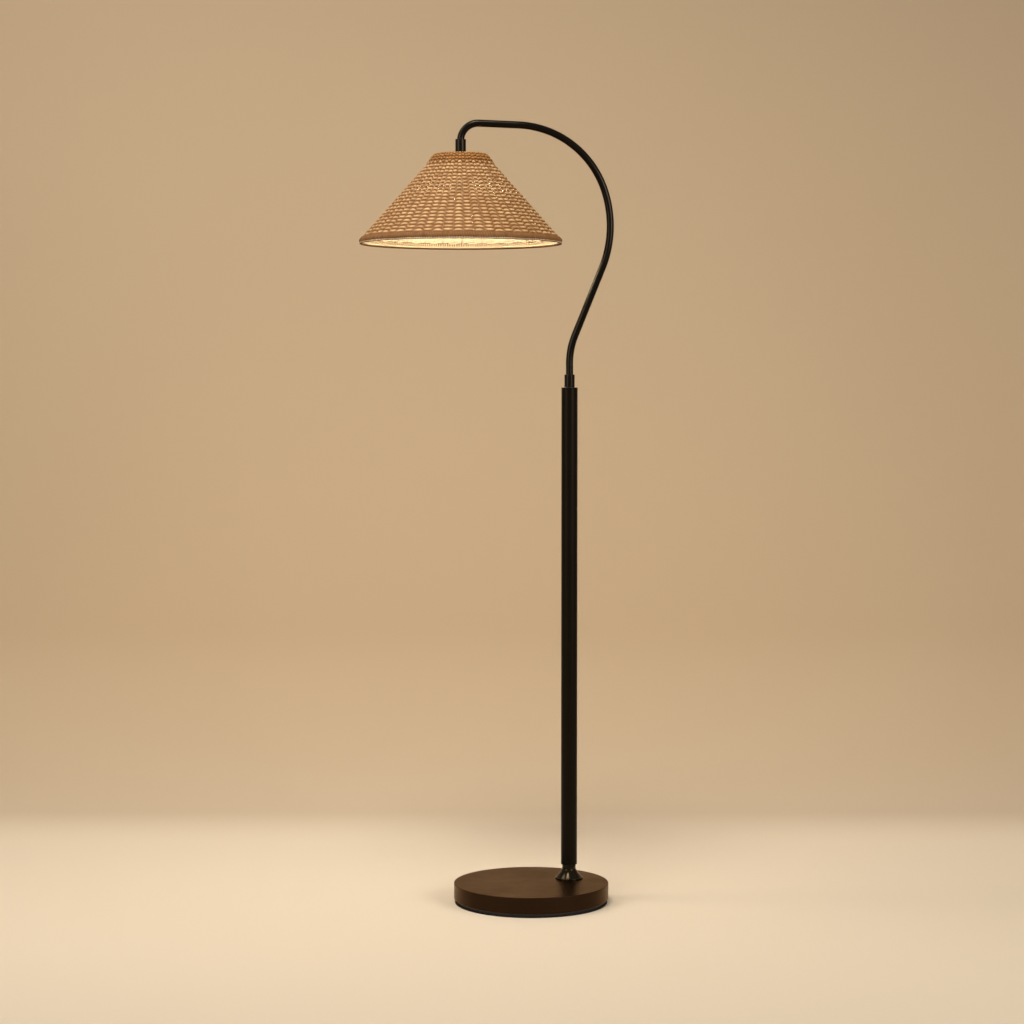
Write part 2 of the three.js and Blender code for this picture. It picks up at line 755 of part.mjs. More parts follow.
// Holder shell, with a neck that stands up in the cap, and a hole for the switch shaft
const shellBottom = -capHeight - shellLength;
const shellBore = holderRadius - holderWall;
const neckOutside = capInside - seatGap;
const fitterTop = -capHeight - fitterBelowCap;
const fitterBottom = fitterTop - fitterThickness;
const switchTop = fitterBottom - switchBelowFitter;
const switchBottom = switchTop - switchBlockHeight;
const switchHeight = (switchTop + switchBottom) / 2;
const shellBlank = turned(
  [
    [shellBore, -capHeight + shellNeck],
    [neckOutside, -capHeight + shellNeck],
    [neckOutside, -capHeight],
    [holderRadius, -capHeight],
    [holderRadius, shellBottom],
    [shellBore, shellBottom],
  ],
  turnedSides,
);
// Lays a piece that was made along +Z so that it points at the viewer, along -Y, at the switch's height.
function towardsViewer(geometry) {
  return geometry.rotateX(Math.PI / 2).translate(0, 0, switchHeight);
}
const shaftHole = towardsViewer(
  rod(switchShaftRadius + looseGap, shellBore - overrun, holderRadius + overrun, smallSides),
);
piece(head, "holder_shell", cut(shellBlank, shaftHole), "blackPlastic");

const ringBore = holderRadius + seatGap;
piece(
  head,
  "shade_ring_upper",
  pipe(shadeRingRadius, ringBore, fitterTop, fitterTop + shadeRingHeight, turnedSides),
  "blackPlastic",
);
piece(
  head,
  "shade_ring_lower",
  pipe(shadeRingRadius, ringBore, fitterBottom - shadeRingHeight, fitterBottom, turnedSides),
  "blackPlastic",
);

// Inside the shell: switch block, porcelain contact block, screw shell and centre contact
const blockRadius = shellBore - seatGap;
const shaftFrom = blockRadius - switchShaftInBlock;
const blindHole = towardsViewer(
  rod(switchShaftRadius + looseGap, shaftFrom - looseGap, blockRadius + overrun, smallSides),
);
const switchBlank = rod(blockRadius, switchBottom, switchTop, turnedSides);
piece(head, "switch_block", cut(switchBlank, blindHole), "blackPlastic");
const contactBlockBottom = switchBottom - contactBlockHeight;
piece(head, "contact_block", rod(blockRadius, contactBlockBottom, switchBottom, turnedSides), "porcelain");
const screwShellBore = bulbCapRadius + seatGap;
piece(
  head,
  "screw_shell",
  pipe(
    screwShellBore + screwShellWall,
    screwShellBore,
    contactBlockBottom - screwShellLength,
    contactBlockBottom,
    turnedSides,
  ),
  "brass",
);

// Switch shaft and knob, which turn together about an axis that points at the viewer
const knobFrom = holderRadius + switchKnobGap;
const shaftTo = knobFrom + switchKnobOverShaft;
piece(head, "switch_shaft", towardsViewer(rod(switchShaftRadius, shaftFrom, shaftTo, smallSides)), "brass");
const knobOutline = Array.from({ length: 2 * switchKnobFlutes }, (_, i) => {
  const angle = (Math.PI * i) / switchKnobFlutes;
  const radius = i % 2 === 0 ? switchKnobRadius : switchKnobRadius * switchKnobFluteShare;
  return new THREE.Vector2(radius * Math.cos(angle), radius * Math.sin(angle));
});
const knobBlank = raised(new THREE.Shape(knobOutline), knobFrom, knobFrom + switchKnobLength);
const knobBore = rod(switchShaftRadius + seatGap, knobFrom - overrun, shaftTo + looseGap, smallSides);
piece(head, "switch_knob", towardsViewer(cut(knobBlank, knobBore)), "blackPlastic");

// Bulb: cap with its insulator and end contact, glass, stem and filaments. Its end contact touches the
// holder's centre contact.
const contactTip = contactBlockBottom - centreContactThickness;
const insulatorTop = contactTip - bulbContactHeight;
const bulbCapTop = insulatorTop - bulbInsulatorHeight;
const bulbCapBottom = bulbCapTop - bulbCapLength;
const bulbCapBore = bulbCapRadius - bulbCapWall;
const capTaperTop = bulbInsulatorRadius;
piece(
  head,
  "bulb_cap",
  turned(
    [
      [bulbCapBore, bulbCapBottom],
      [bulbCapRadius, bulbCapBottom],
      [bulbCapRadius, bulbCapTop - bulbCapTaper],
      [capTaperTop, bulbCapTop],
      [capTaperTop - bulbCapTaper, bulbCapTop],
      [bulbCapBore, bulbCapTop - bulbCapTaper - bulbCapWall],
    ],
    turnedSides,
  ),
  "nickel",
);
piece(
  head,
  "bulb_insulator",
  pipe(bulbInsulatorRadius, bulbContactRadius + seatGap, bulbCapTop, insulatorTop, smallSides),
  "blackPlastic",
);
piece(head, "bulb_contact", rod(bulbContactRadius, bulbCapTop, contactTip, smallSides), "brass");
piece(head, "centre_contact", rod(centreContactRadius, contactTip, contactBlockBottom, smallSides), "brass");

// The glass is a ball that narrows to a neck. The neck stands up inside the cap and is open there.
const glassTip = bulbCapBottom - bulbGlassLength;
const ballCentre = glassTip + bulbRadius;
const neckEnd = bulbCapBottom + bulbNeckInCap;
const glassNeckRadius = bulbCapBore - looseGap;
const neckBore = glassNeckRadius - bulbGlassWall;
const necking = Math.acos((glassNeckRadius + bulbGlassWall) / bulbRadius);
const ballArc = arcPoints(1, -Math.PI / 2, necking, bulbPoints);
function glassOutline(radius, neck) {
  const ball = ballArc.map((p) => [radius * p.x, ballCentre + radius * p.y]);
  return [...ball, [neck, bulbCapBottom], [neck, neckEnd]];
}
const glassOutside = glassOutline(bulbRadius, glassNeckRadius);
const glassInside = glassOutline(bulbRadius - bulbGlassWall, neckBore);
glassOutside[0][0] = 0;
glassInside[0][0] = 0;
piece(head, "bulb_glass", turned([...glassOutside, ...glassInside.reverse()], turnedSides), "frostedGlass");

// The stem widens at its top to the bore of the glass's neck.
const stemBottom = neckEnd - stemLength;
const stem = turned(
  [
    [0, stemBottom],
    [stemRadius, stemBottom],
    [stemRadius, neckEnd - stemFlare],
    [neckBore - looseGap, neckEnd],
    [0, neckEnd],
  ],
  smallSides,
);
piece(head, "bulb_stem", stem, "clearGlass");
for (let i = 0; i < filaments; i += 1) {
  const strip = rod(filamentRadius, -filamentLength, 0, wireSides)
    .rotateY(-filamentSlope)
    .translate(stemRadius + filamentRadius + looseGap, 0, stemBottom + filamentRadius)
    .rotateZ((i * 2 * Math.PI) / filaments);
  piece(head, `filament_${i + 1}`, strip, "filament");
}

// Shade, in a group whose origin is in the plane of the flat top
const shade = new THREE.Group();
shade.position.z = collarBelowShadeTop;
head.add(shade);

// The cone's line runs from the corner at the flat top and touches the circle of the rim's outside.
const rimX = shadeRadius - rimRadius;
const rimZ = rimRadius - shadeHeight;
const toRimX = rimX - shadeCornerRadius;
const cornerToRim = Math.hypot(toRimX, rimZ);
const coneAngle = Math.atan2(toRimX, -rimZ) + Math.asin(rimRadius / cornerToRim);
const coneLength = Math.sqrt(cornerToRim ** 2 - rimRadius ** 2);

// A point by its distance down the cone's line from the corner, and its depth below the outer surface
function onCone(down, depth) {
  return [
    shadeCornerRadius + down * Math.sin(coneAngle) - depth * Math.cos(coneAngle),
    -down * Math.cos(coneAngle) - depth * Math.sin(coneAngle),
  ];
}

// Woven wall. Its outside has one point for each crossing of a row with a stake. A strand passes over one
// stake and under the next, and the row below does the opposite, so every other point lies deeper.
const bandEnd = topBandOnCone;
const rimStart = coneLength - rimOnCone;
const wallStart = bandEnd + looseGap;
const wallEnd = rimStart - looseGap;
const rows = Math.round((wallEnd - wallStart) / rowPitch);
function wallOutline(firstCrossing) {
  const crossings = Array.from({ length: rows }, (_, row) => {
    const down = wallStart + ((wallEnd - wallStart) * (row + 1 / 2)) / rows;
    return onCone(down, ((row + firstCrossing) % 2) * weaveDepth);
  });
  return [
    onCone(wallStart, weaveDepth / 2),
    ...crossings,
    onCone(wallEnd, weaveDepth / 2),
    onCone(wallEnd, shadeWall),
    onCone(wallStart, shadeWall),
  ];
}
piece(shade, "shade_skin", turnedInTurns(wallOutline(0), wallOutline(1), shadeSides), "rattan");

// Flat top with the hole that the head collar passes through. It lies just over the holder's cap.
const bandCorner = shadeCornerRadius + bandProud / Math.cos(coneAngle);
const bandInner = bandCorner - shadeRound - topBandOnTop;
const flatTopUnder = looseGap - collarBelowShadeTop;
piece(
  shade,
  "shade_top",
  pipe(bandInner - looseGap, headCollarRadius + looseGap, flatTopUnder, 0, turnedSides),
  "rattan",
);

// Band round the shoulder, from the flat top over a round corner onto the cone
const shoulderTurn = Math.PI / 2 - coneAngle;
const shoulderRadius = shadeRound / Math.tan(shoulderTurn / 2);
const shoulderX = bandCorner - shadeRound;
function shoulder(depth) {
  const arc = arcPoints(shoulderRadius - depth, Math.PI / 2, Math.PI / 2 - shoulderTurn, shadeRoundPoints);
  return arc.map((p) => [shoulderX + p.x, p.y - shoulderRadius]);
}
piece(
  shade,
  "top_band",
  turned(
    [
      [bandInner, 0],
      ...shoulder(0),
      onCone(bandEnd, -bandProud),
      onCone(bandEnd, shadeWall),
      ...shoulder(bandProud + shadeWall).reverse(),
      [bandInner, -bandProud - shadeWall],
    ],
    shadeSides,
  ),
  "rattanBand",
);

// Rim: a wrapped band. Its outside runs on from the cone's line round a circle, to where it meets the flat
// inside.
const rimTurn = Math.acos(1 - rimThickness / rimRadius);
const rimOutside = arcPoints(rimRadius, coneAngle, coneAngle - rimTurn, rimPoints);
piece(
  shade,
  "rim_roll",
  turned(
    [
      onCone(rimStart, 0),
      ...rimOutside.map((p) => [rimX + p.x, rimZ + p.y]),
      onCone(rimStart, rimThickness),
    ],
    shadeSides,
  ),
  "rattanBand",
);

// Wire frame: rim ring, top ring and straight ribs between them
function wireRing(radius, x, z) {
  return turned(circle(radius, wireSides).map((p) => [x + p.x, z + p.y]), shadeSides);
}
const topRingDepth = bandProud + shadeWall + looseGap + topRingRadius;
const topRingAngle = Math.PI / 2 - shoulderTurn / 2;
const topRingX = shoulderX + (shoulderRadius - topRingDepth) * Math.cos(topRingAngle);
const topRingZ = (shoulderRadius - topRingDepth) * Math.sin(topRingAngle) - shoulderRadius;
const [rimRingX, rimRingZ] = onCone(coneLength, rimThickness + looseGap + rimRingRadius);
const ribWires = Array.from({ length: ribs }, (_, i) =>
  wire(ribRadius, new THREE.Vector3(topRingX, 0, topRingZ), new THREE.Vector3(rimRingX, 0, rimRingZ)).rotateZ(
    (i * 2 * Math.PI) / ribs,
  ),
);
piece(
  shade,
  "shade_frame",
  joined(
    wireRing(rimRingRadius, rimRingX, rimRingZ),
    wireRing(topRingRadius, topRingX, topRingZ),
    ...ribWires,
  ),
  "ivoryWire",
);

// Fitter and its spider arms: the fitter is clamped between the shade rings, and the arms reach up to the
// top ring of the frame.
const armFoot = new THREE.Vector3(fitterRadius - spiderArmInset, 0, (fitterTop + fitterBottom) / 2);
const armHook = new THREE.Vector3(topRingX, 0, topRingZ + collarBelowShadeTop);
const armLine = armHook.clone().sub(armFoot);
armLine.setLength(armLine.length() - topRingRadius - looseGap);
const armEnd = armFoot.clone().add(armLine);
const armWires = Array.from({ length: spiderArms }, (_, i) =>
  wire(spiderWireRadius, armFoot, armEnd).rotateZ(((i + 1 / 2) * 2 * Math.PI) / spiderArms),
);
piece(
  head,
  "fitter_spider",
  joined(pipe(fitterRadius, ringBore, fitterBottom, fitterTop, turnedSides), ...armWires),
  "ivoryWire",
);

// Lead in the arm, from where the lead in the pole ends to the switch block
const leadRiser = leadSplit + looseGap / 2;
const upperLead = new BentPath(0, leadRiser, 0, [
  { ahead: towardsCrown[0].ahead - (leadRiser - armBottom) },
  ...toElbow.slice(1),
  { ahead: elbowEnd.z - head.position.z - switchTop - looseGap },
]);
piece(arm, "upper_lead", drawn(upperLead, leadRadius, 0, leadSides), "leadSheath");

export default lamp;
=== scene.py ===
"""Rattan floor lamp: a round weighted base, an upright pole, a bent swivelling arm and a woven cone shade.

All sizes are in metres, +Z up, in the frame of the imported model. A surface is a grid of points worked out
from two parameters, or a section carried along a path.
"""

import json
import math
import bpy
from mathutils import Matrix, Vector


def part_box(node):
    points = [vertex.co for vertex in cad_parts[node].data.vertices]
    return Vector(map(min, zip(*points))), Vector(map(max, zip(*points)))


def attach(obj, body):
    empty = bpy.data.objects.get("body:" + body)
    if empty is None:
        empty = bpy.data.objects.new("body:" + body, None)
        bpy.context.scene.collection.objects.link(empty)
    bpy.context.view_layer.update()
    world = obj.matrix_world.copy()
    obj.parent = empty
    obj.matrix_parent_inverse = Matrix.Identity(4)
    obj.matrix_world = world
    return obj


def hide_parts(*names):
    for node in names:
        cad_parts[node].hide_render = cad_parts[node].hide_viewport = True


bl_info = {
    "name": "Rattan floor lamp",
    "version": (1, 0, 0),
    "blender": (4, 5, 0),
    "location": "3D View > Sidebar > Lamp",
    "description": "Makes the visible surfaces and finishes of a floor lamp with a woven shade",
    "category": "Add Mesh",
}

import bmesh
import bpy
import numpy as np

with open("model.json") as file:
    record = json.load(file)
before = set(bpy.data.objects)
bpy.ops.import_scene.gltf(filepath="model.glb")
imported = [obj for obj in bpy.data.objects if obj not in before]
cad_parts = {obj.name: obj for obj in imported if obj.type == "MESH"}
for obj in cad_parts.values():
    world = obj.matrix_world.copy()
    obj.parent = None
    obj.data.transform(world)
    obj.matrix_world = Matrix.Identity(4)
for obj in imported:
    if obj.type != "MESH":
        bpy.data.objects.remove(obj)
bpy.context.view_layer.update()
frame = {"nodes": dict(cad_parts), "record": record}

MM = 0.001
SIDES = 96  # round a turned piece
ONE_POINT = 1e-7  # points closer than this, in metres, are one point
rng = np.random.default_rng(4)


def corners(node):
    """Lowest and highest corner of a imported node, as arrays."""
    low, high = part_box(node)
    return np.array(low), np.array(high)


def heights(node):
    """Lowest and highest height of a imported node."""
    return tuple(float(corner[2]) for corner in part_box(node))


def linear(code):
    """Linear red, green, blue and alpha of an sRGB hex colour."""
    channels = [int(code[i : i + 2], 16) / 255 for i in (0, 2, 4)]
    curve = [c / 12.92 if c <= 0.04045 else ((c + 0.055) / 1.055) ** 2.4 for c in channels]
    return (*curve, 1.0)


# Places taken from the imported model
pole_low, pole_high = corners("pole_tube")
rim_low, rim_high = corners("rim_roll")
POLE = (pole_low + pole_high)[:2] / 2
SHADE = (rim_low + rim_high)[:2] / 2
BASE_FOOT, BASE_TOP = heights("base_cover")
POLE_FOOT, POLE_TOP = heights("pole_tube")
SHADE_TOP = heights("top_band")[1]
HOLDER_TOP = heights("head_collar")[0]


class MetalworkSizes(bpy.types.PropertyGroup):
    """Sizes of the base, the pole and the arm"""

    base_radius: bpy.props.FloatProperty(
        name="Base radius", description="Outside of the base's cover", default=152.5 * MM, unit="LENGTH"
    )
    pole_radius: bpy.props.FloatProperty(
        name="Pole radius", description="Outside of the pole", default=16 * MM, unit="LENGTH"
    )
    arm_radius: bpy.props.FloatProperty(
        name="Arm radius", description="Outside of the bent tube", default=7.15 * MM, unit="LENGTH"
    )
    edge_round: bpy.props.FloatProperty(
        name="Edge round", description="Round of the tubes' cut edges", default=0.6 * MM, unit="LENGTH"
    )


class WeaveSizes(bpy.types.PropertyGroup):
    """Sizes of the shade's weave"""

    stakes: bpy.props.IntProperty(
        name="Stakes", description="Strands that run down the cone; an even number", default=60
    )
    row_pitch: bpy.props.FloatProperty(
        name="Row pitch", description="Distance between woven rows down the cone",
        default=4.65 * MM, unit="LENGTH"
    )
    strand_width: bpy.props.FloatProperty(
        name="Strand width", description="Width of a woven strand in the tight rows",
        default=4.9 * MM, unit="LENGTH"
    )
    strand_thickness: bpy.props.FloatProperty(
        name="Strand thickness", description="Thickness of a woven strand", default=2.4 * MM, unit="LENGTH"
    )
    sway: bpy.props.FloatProperty(
        name="Sway", description="How far the rows move down over one stake and up over the next",
        default=2.0 * MM, unit="LENGTH"
    )
    wave: bpy.props.FloatProperty(
        name="Wave", description="How far a strand moves out over a stake, and in behind the next",
        default=1.55 * MM, unit="LENGTH"
    )
    rim_wraps: bpy.props.IntProperty(
        name="Rim wraps", description="Turns of the strand round the rim", default=255
    )


class FinishColours(bpy.types.PropertyGroup):
    """Colours of the main finishes"""

    strand: bpy.props.FloatVectorProperty(
        name="Rattan", description="Lit side of a woven strand", size=4, subtype="COLOR",
        default=linear("EBC893")
    )
    # Colour of the shade painted where strands dive between the stakes
    groove_shading: bpy.props.FloatVectorProperty(
        name="Rattan grooves", description="Where strands dive between the stakes", size=4, subtype="COLOR",
        default=linear("6E3E04")
    )
    binding: bpy.props.FloatVectorProperty(
        name="Binding", description="Strand wrapped round the rim", size=4, subtype="COLOR",
        default=linear("8E6234")
    )
    black: bpy.props.FloatVectorProperty(
        name="Black", description="Coated steel", size=4, subtype="COLOR", default=linear("0C0B09")
    )
    glow: bpy.props.FloatVectorProperty(
        name="Light", description="Colour of the lit bulb", size=4, subtype="COLOR",
        default=linear("FFF2DA")
    )


class LampSettings(bpy.types.PropertyGroup):
    """All settings of the lamp"""

    metalwork: bpy.props.PointerProperty(type=MetalworkSizes)
    weave: bpy.props.PointerProperty(type=WeaveSizes)
    finish: bpy.props.PointerProperty(type=FinishColours)


# Surfaces


def rounded(outline, steps=8, closed=True):
    """Rounds an outline of (x, y, radius) corners. Each corner becomes the circle arc between its two tangent
    points, as a rational quadratic curve whose middle weight is the sine of half the corner's angle. A point
    a little way out on each side keeps the shading of the flats even."""
    sharpest = 1e-3  # half angle of the sharpest corner, in radians
    further = 1.3  # how far from the corner that point lies, by the arc's own reach
    data = np.array(outline, float)
    point, radius = data[:, :2], data[:, 2]
    back, ahead = np.roll(point, 1, 0) - point, np.roll(point, -1, 0) - point
    if not closed:
        back[0], ahead[-1] = -ahead[0], -back[-1]
    back_length, ahead_length = np.linalg.norm(back, axis=1), np.linalg.norm(ahead, axis=1)
    back, ahead = back / back_length[:, None], ahead / ahead_length[:, None]
    half = np.arccos(np.clip((back * ahead).sum(1), -1, 1)) / 2
    reach = (radius / np.tan(np.maximum(half, sharpest)))[:, None, None]
    weight = np.sin(half)[:, None, None]
    point, back, ahead = point[:, None], back[:, None], ahead[:, None]
    t = np.linspace(0, 1, steps + 1)[None, :, None]
    start, end = point + back * reach, point + ahead * reach
    shares = (1 - t) ** 2, 2 * t * (1 - t) * weight, t**2
    turn = (shares[0] * start + shares[1] * point + shares[2] * end) / sum(shares)
    before, after = point + back * reach * further, point + ahead * reach * further
    curve = np.concatenate([before, turn, after], 1).reshape(-1, 2)
    apart = np.linalg.norm(curve - np.roll(curve, 1, 0), axis=1) > ONE_POINT
    apart[0] = apart[0] or not closed
    return curve[apart]


def arc(centre, radius, start, end, count):
    """Points of a circle arc: centre + radius * (cos a, sin a) for angles a from start to end."""
    a = np.linspace(start, end, count)[:, None]
    return np.asarray(centre) + radius * np.hstack([np.cos(a), np.sin(a)])


def grid(points, along=False, around=True, hollow=None):
    """Faces over a grid of points, shaped (strands, stations, section, 3). Each face spans two neighbouring
    stations and two neighbouring points of the section. The stations join up into a ring when along is true,
    and the section when around is true; open ends get a flat face. The UV map is in metres: the length along
    the stations' middles, and the length round the section. Each strand's part of it starts further along
    than the one before, so that the strands differ in tone."""
    further = 0.37
    points = np.asarray(points, float)
    points = points[None] if points.ndim == 3 else points
    strands, stations, section = points.shape[:3]
    s, i, j = np.meshgrid(
        np.arange(strands),
        np.arange(stations if along else stations - 1),
        np.arange(section if around else section - 1),
        indexing="ij",
    )
    middle = points.mean(2)
    step = np.linalg.norm(np.roll(middle, -1, 1) - middle, axis=2)
    u = np.concatenate([np.zeros((strands, 1)), np.cumsum(step, 1)], 1)
    u = u + further * np.arange(strands)[:, None]
    edge = np.linalg.norm(np.roll(points, -1, 2) - points, axis=3).mean((0, 1))
    v = np.concatenate([[0], np.cumsum(edge)])
    turns = ((0, 0), (1, 0), (1, 1), (0, 1))
    faces = [(s * stations + (i + a) % stations) * section + (j + b) % section for a, b in turns]
    faces = np.stack(faces, -1).reshape(-1, 4)
    uv = np.stack([np.stack([u[s, i + a], v[j + b]], -1) for a, b in turns], -2).reshape(-1, 4, 2)
    flat = points.reshape(-1, 3)
    ends, ends_uv = np.zeros((0, section), int), np.zeros((0, section, 2))
    if around and not along:
        first = (np.arange(strands) * stations * section)[:, None] + np.arange(section)
        last = first[:, ::-1] + (stations - 1) * section
        ends = np.concatenate([first, last])
        ends_uv = np.stack(np.broadcast_arrays(u[:, :1], v[:-1]), -1)
        ends_uv = np.concatenate([ends_uv, ends_uv[:, ::-1]])
    p = flat[faces] - flat.mean(0)
    volume = np.einsum("ij,ij->", p[:, 0], np.cross(p[:, 1], p[:, 2]) + np.cross(p[:, 2], p[:, 3]))
    if len(ends):
        q = flat[ends] - flat.mean(0)
        fan = np.cross(q, np.roll(q, -1, 1)).sum(1)
        volume += np.einsum("ij,ij->", q.mean(1), fan)
    if volume < 0:
        faces, uv, ends, ends_uv = faces[:, ::-1], uv[:, ::-1], ends[:, ::-1], ends_uv[:, ::-1]
    depth = np.zeros(len(flat)) if hollow is None else np.broadcast_to(hollow, points.shape[:3]).reshape(-1)
    return {"points": flat, "faces": [faces, ends], "uv": [uv, ends_uv], "hollow": depth}


def turned(outline, centre=(0, 0), closed=True, sides=SIDES, place=None):
    """A profile turned about an upright axis: the point (r, z) goes to (r cos a, r sin a, z) for each angle
    a. place, a turn and a move, is for a piece whose axis lies level."""
    angle = np.arange(sides)[:, None] * 2 * np.pi / sides
    radius, height = np.asarray(outline)[:, :2].T
    points = np.stack([radius * np.cos(angle), radius * np.sin(angle), height + 0 * angle], -1)
    points = points @ np.asarray(place[0]).T + place[1] if place else points + [*centre, 0]
    return grid(points, along=True, around=closed)


def oval(sides, power=1.0):
    """Section of a strand: an oval whose points are (cos a, sin a), each to the power given, so that a power
    below 1 makes it fuller towards the corners."""
    a = np.arange(sides) * 2 * np.pi / sides
    c, s = np.cos(a), np.sin(a)
    return np.stack([np.sign(c) * np.abs(c) ** power, np.sign(s) * np.abs(s) ** power], -1)


def carried(path, first, second, section, width, height):
    """A section carried along a path: path + first * width * x + second * height * y for each section point
    (x, y), where first and second are unit vectors square to the path."""
    x = section[:, 0] * np.asarray(width, float)[..., None]
    y = section[:, 1] * np.asarray(height, float)[..., None]
    return path[..., None, :] + first[..., None, :] * x[..., None] + second[..., None, :] * y[..., None]


def unit(vector):
    return vector / np.linalg.norm(vector, axis=-1, keepdims=True)


def make(name, parts, material, body, replaces=(), merge=False, sharp=40):
    """One mesh object from grids of faces, with its material, riding on its body. merge joins points that are
    one, and an edge whose faces turn by more than sharp degrees is shaded as an edge."""
    mesh = bpy.data.meshes.new(name)
    offsets = np.cumsum([0] + [len(p["points"]) for p in parts])
    groups = [(f + o, uv) for p, o in zip(parts, offsets) for f, uv in zip(p["faces"], p["uv"]) if len(f)]
    loops = np.concatenate([f.reshape(-1) for f, _ in groups])
    sizes = np.concatenate([np.full(len(f), f.shape[1]) for f, _ in groups])
    starts = np.concatenate([[0], np.cumsum(sizes)[:-1]])
    points = np.concatenate([p["points"] for p in parts])
    mesh.vertices.add(len(points))
    mesh.vertices.foreach_set("co", points.astype(np.float32).reshape(-1))
    mesh.loops.add(len(loops))
    mesh.loops.foreach_set("vertex_index", loops.astype(np.int32))
    mesh.polygons.add(len(sizes))
    mesh.polygons.foreach_set("loop_start", starts.astype(np.int32))
    mesh.update(calc_edges=True)
    layer = mesh.uv_layers.new(name="strand")
    layer.data.foreach_set("uv", np.concatenate([uv.reshape(-1) for _, uv in groups]).astype(np.float32))
    depth = mesh.attributes.new("hollow", "FLOAT", "POINT")
    depth.data.foreach_set("value", np.concatenate([p["hollow"] for p in parts]).astype(np.float32))
    if merge:
        work = bmesh.new()
        work.from_mesh(mesh)
        bmesh.ops.remove_doubles(work, verts=work.verts, dist=ONE_POINT)
        work.to_mesh(mesh)
        work.free()
    mesh.polygons.foreach_set("use_smooth", np.ones(len(mesh.polygons), bool))
    mesh.set_sharp_from_angle(angle=math.radians(sharp))
    if mesh.validate():
        raise RuntimeError(f"{name} has faces that don't hold")
    mesh.materials.append(material)
    piece = bpy.data.objects.new(name, mesh)
    bpy.context.scene.collection.objects.link(piece)
    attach(piece, body)
    if replaces:
        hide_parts(*replaces)
    return piece


# Finishes

# Sockets and output of a Mix node for colours, which come after those for numbers and vectors
SHARE, FIRST, SECOND, MIXED = 0, 6, 7, 2


def add(tree, kind, inputs=None, output=0, **settings):
    """Adds a node, sets its properties, fills its sockets with values or links, and gives one output."""
    node = tree.nodes.new(kind)
    for key, value in settings.items():
        setattr(node, key, value)
    for key, value in (inputs or {}).items():
        if isinstance(value, bpy.types.NodeSocket):
            tree.links.new(value, node.inputs[key])
        else:
            node.inputs[key].default_value = value
    return node.outputs[output]


def finish_of(name, values):
    """A new material of that name, with its node tree and its main shader."""
    material = bpy.data.materials.new(name)
    material.use_nodes = True
    shader = material.node_tree.nodes["Principled BSDF"]
    for key, value in values.items():
        shader.inputs[key].default_value = value
    return material, material.node_tree, shader


def colour_of(code):
    """A colour of the panel by its name, or else the linear colour of a hex code."""
    panel = bpy.context.scene.rattan_lamp.finish
    return getattr(panel, code) if hasattr(panel, code) else linear(code)


def rattan(name, light, dark, shading_share):
    """Rattan core, peeled, split and woven while wet. Gives the eye long pale fibres, some strands browner
    than others, shade painted darker into the grooves where a strand dives, and a dry, low gloss. The inside
    is painted cream, so it glows when the bulb is lit."""
    light, dark = colour_of(light), colour_of(dark)
    brown = [0.4 * a + 0.6 * b for a, b in zip(light, dark)]
    material, tree, shader = finish_of(name, {"Specular IOR Level": 0.3})
    strand = add(tree, "ShaderNodeUVMap", uv_map="strand")
    # A strand keeps its tone for about 22 mm; its fibres are 0.7 mm apart, drawn coarse enough to show.
    tone_place = add(tree, "ShaderNodeMapping", {"Vector": strand, "Scale": (1 / (22 * MM), 0, 0)})
    fibre_scale = (1 / (30 * MM), 1 / (0.7 * MM), 1)
    fibre_place = add(tree, "ShaderNodeMapping", {"Vector": strand, "Scale": fibre_scale})
    tone = add(tree, "ShaderNodeTexNoise", {"Vector": tone_place, "Scale": 1.0, "Detail": 3.0})
    fibre = add(tree, "ShaderNodeTexNoise", {"Vector": fibre_place, "Scale": 1.0, "Detail": 2.0})
    paleness = add(tree, "ShaderNodeMapRange", {"Value": tone, "From Min": 0.36, "From Max": 0.6})
    body = add(tree, "ShaderNodeMix", {SHARE: paleness, FIRST: brown, SECOND: light}, MIXED, data_type="RGBA")
    streak = add(
        tree, "ShaderNodeMapRange",
        {"Value": fibre, "From Min": 0.35, "From Max": 0.65, "To Min": 0.3, "To Max": 0.0},
    )
    streaked = add(tree, "ShaderNodeMix", {SHARE: streak, FIRST: body, SECOND: dark}, MIXED, data_type="RGBA")
    # The attribute is painted shade where it is above zero, in the grooves and towards strand edges, and
    # marks the cream-painted inside where it is below zero.
    hollow = add(tree, "ShaderNodeAttribute", output="Fac", attribute_name="hollow")
    # Share of painted shade in the grooves, and share of cream paint on the inside
    groove_shading, paint = (
        add(tree, "ShaderNodeMath", {0: hollow, 1: share}, operation="MULTIPLY", use_clamp=True)
        for share in (shading_share, -0.97)
    )
    bare = add(tree, "ShaderNodeMix", {SHARE: groove_shading, FIRST: streaked, SECOND: dark}, MIXED, data_type="RGBA")
    cream = linear("F8EED2")
    shown = add(tree, "ShaderNodeMix", {SHARE: paint, FIRST: bare, SECOND: cream}, MIXED, data_type="RGBA")
    rough = add(tree, "ShaderNodeMapRange", {"Value": fibre, "To Min": 0.48, "To Max": 0.72})
    bump = add(tree, "ShaderNodeBump", {"Strength": 0.5, "Distance": 0.25 * MM, "Height": fibre})
    for socket, source in (("Base Color", shown), ("Roughness", rough), ("Normal", bump)):
        tree.links.new(source, shader.inputs[socket])
    return material


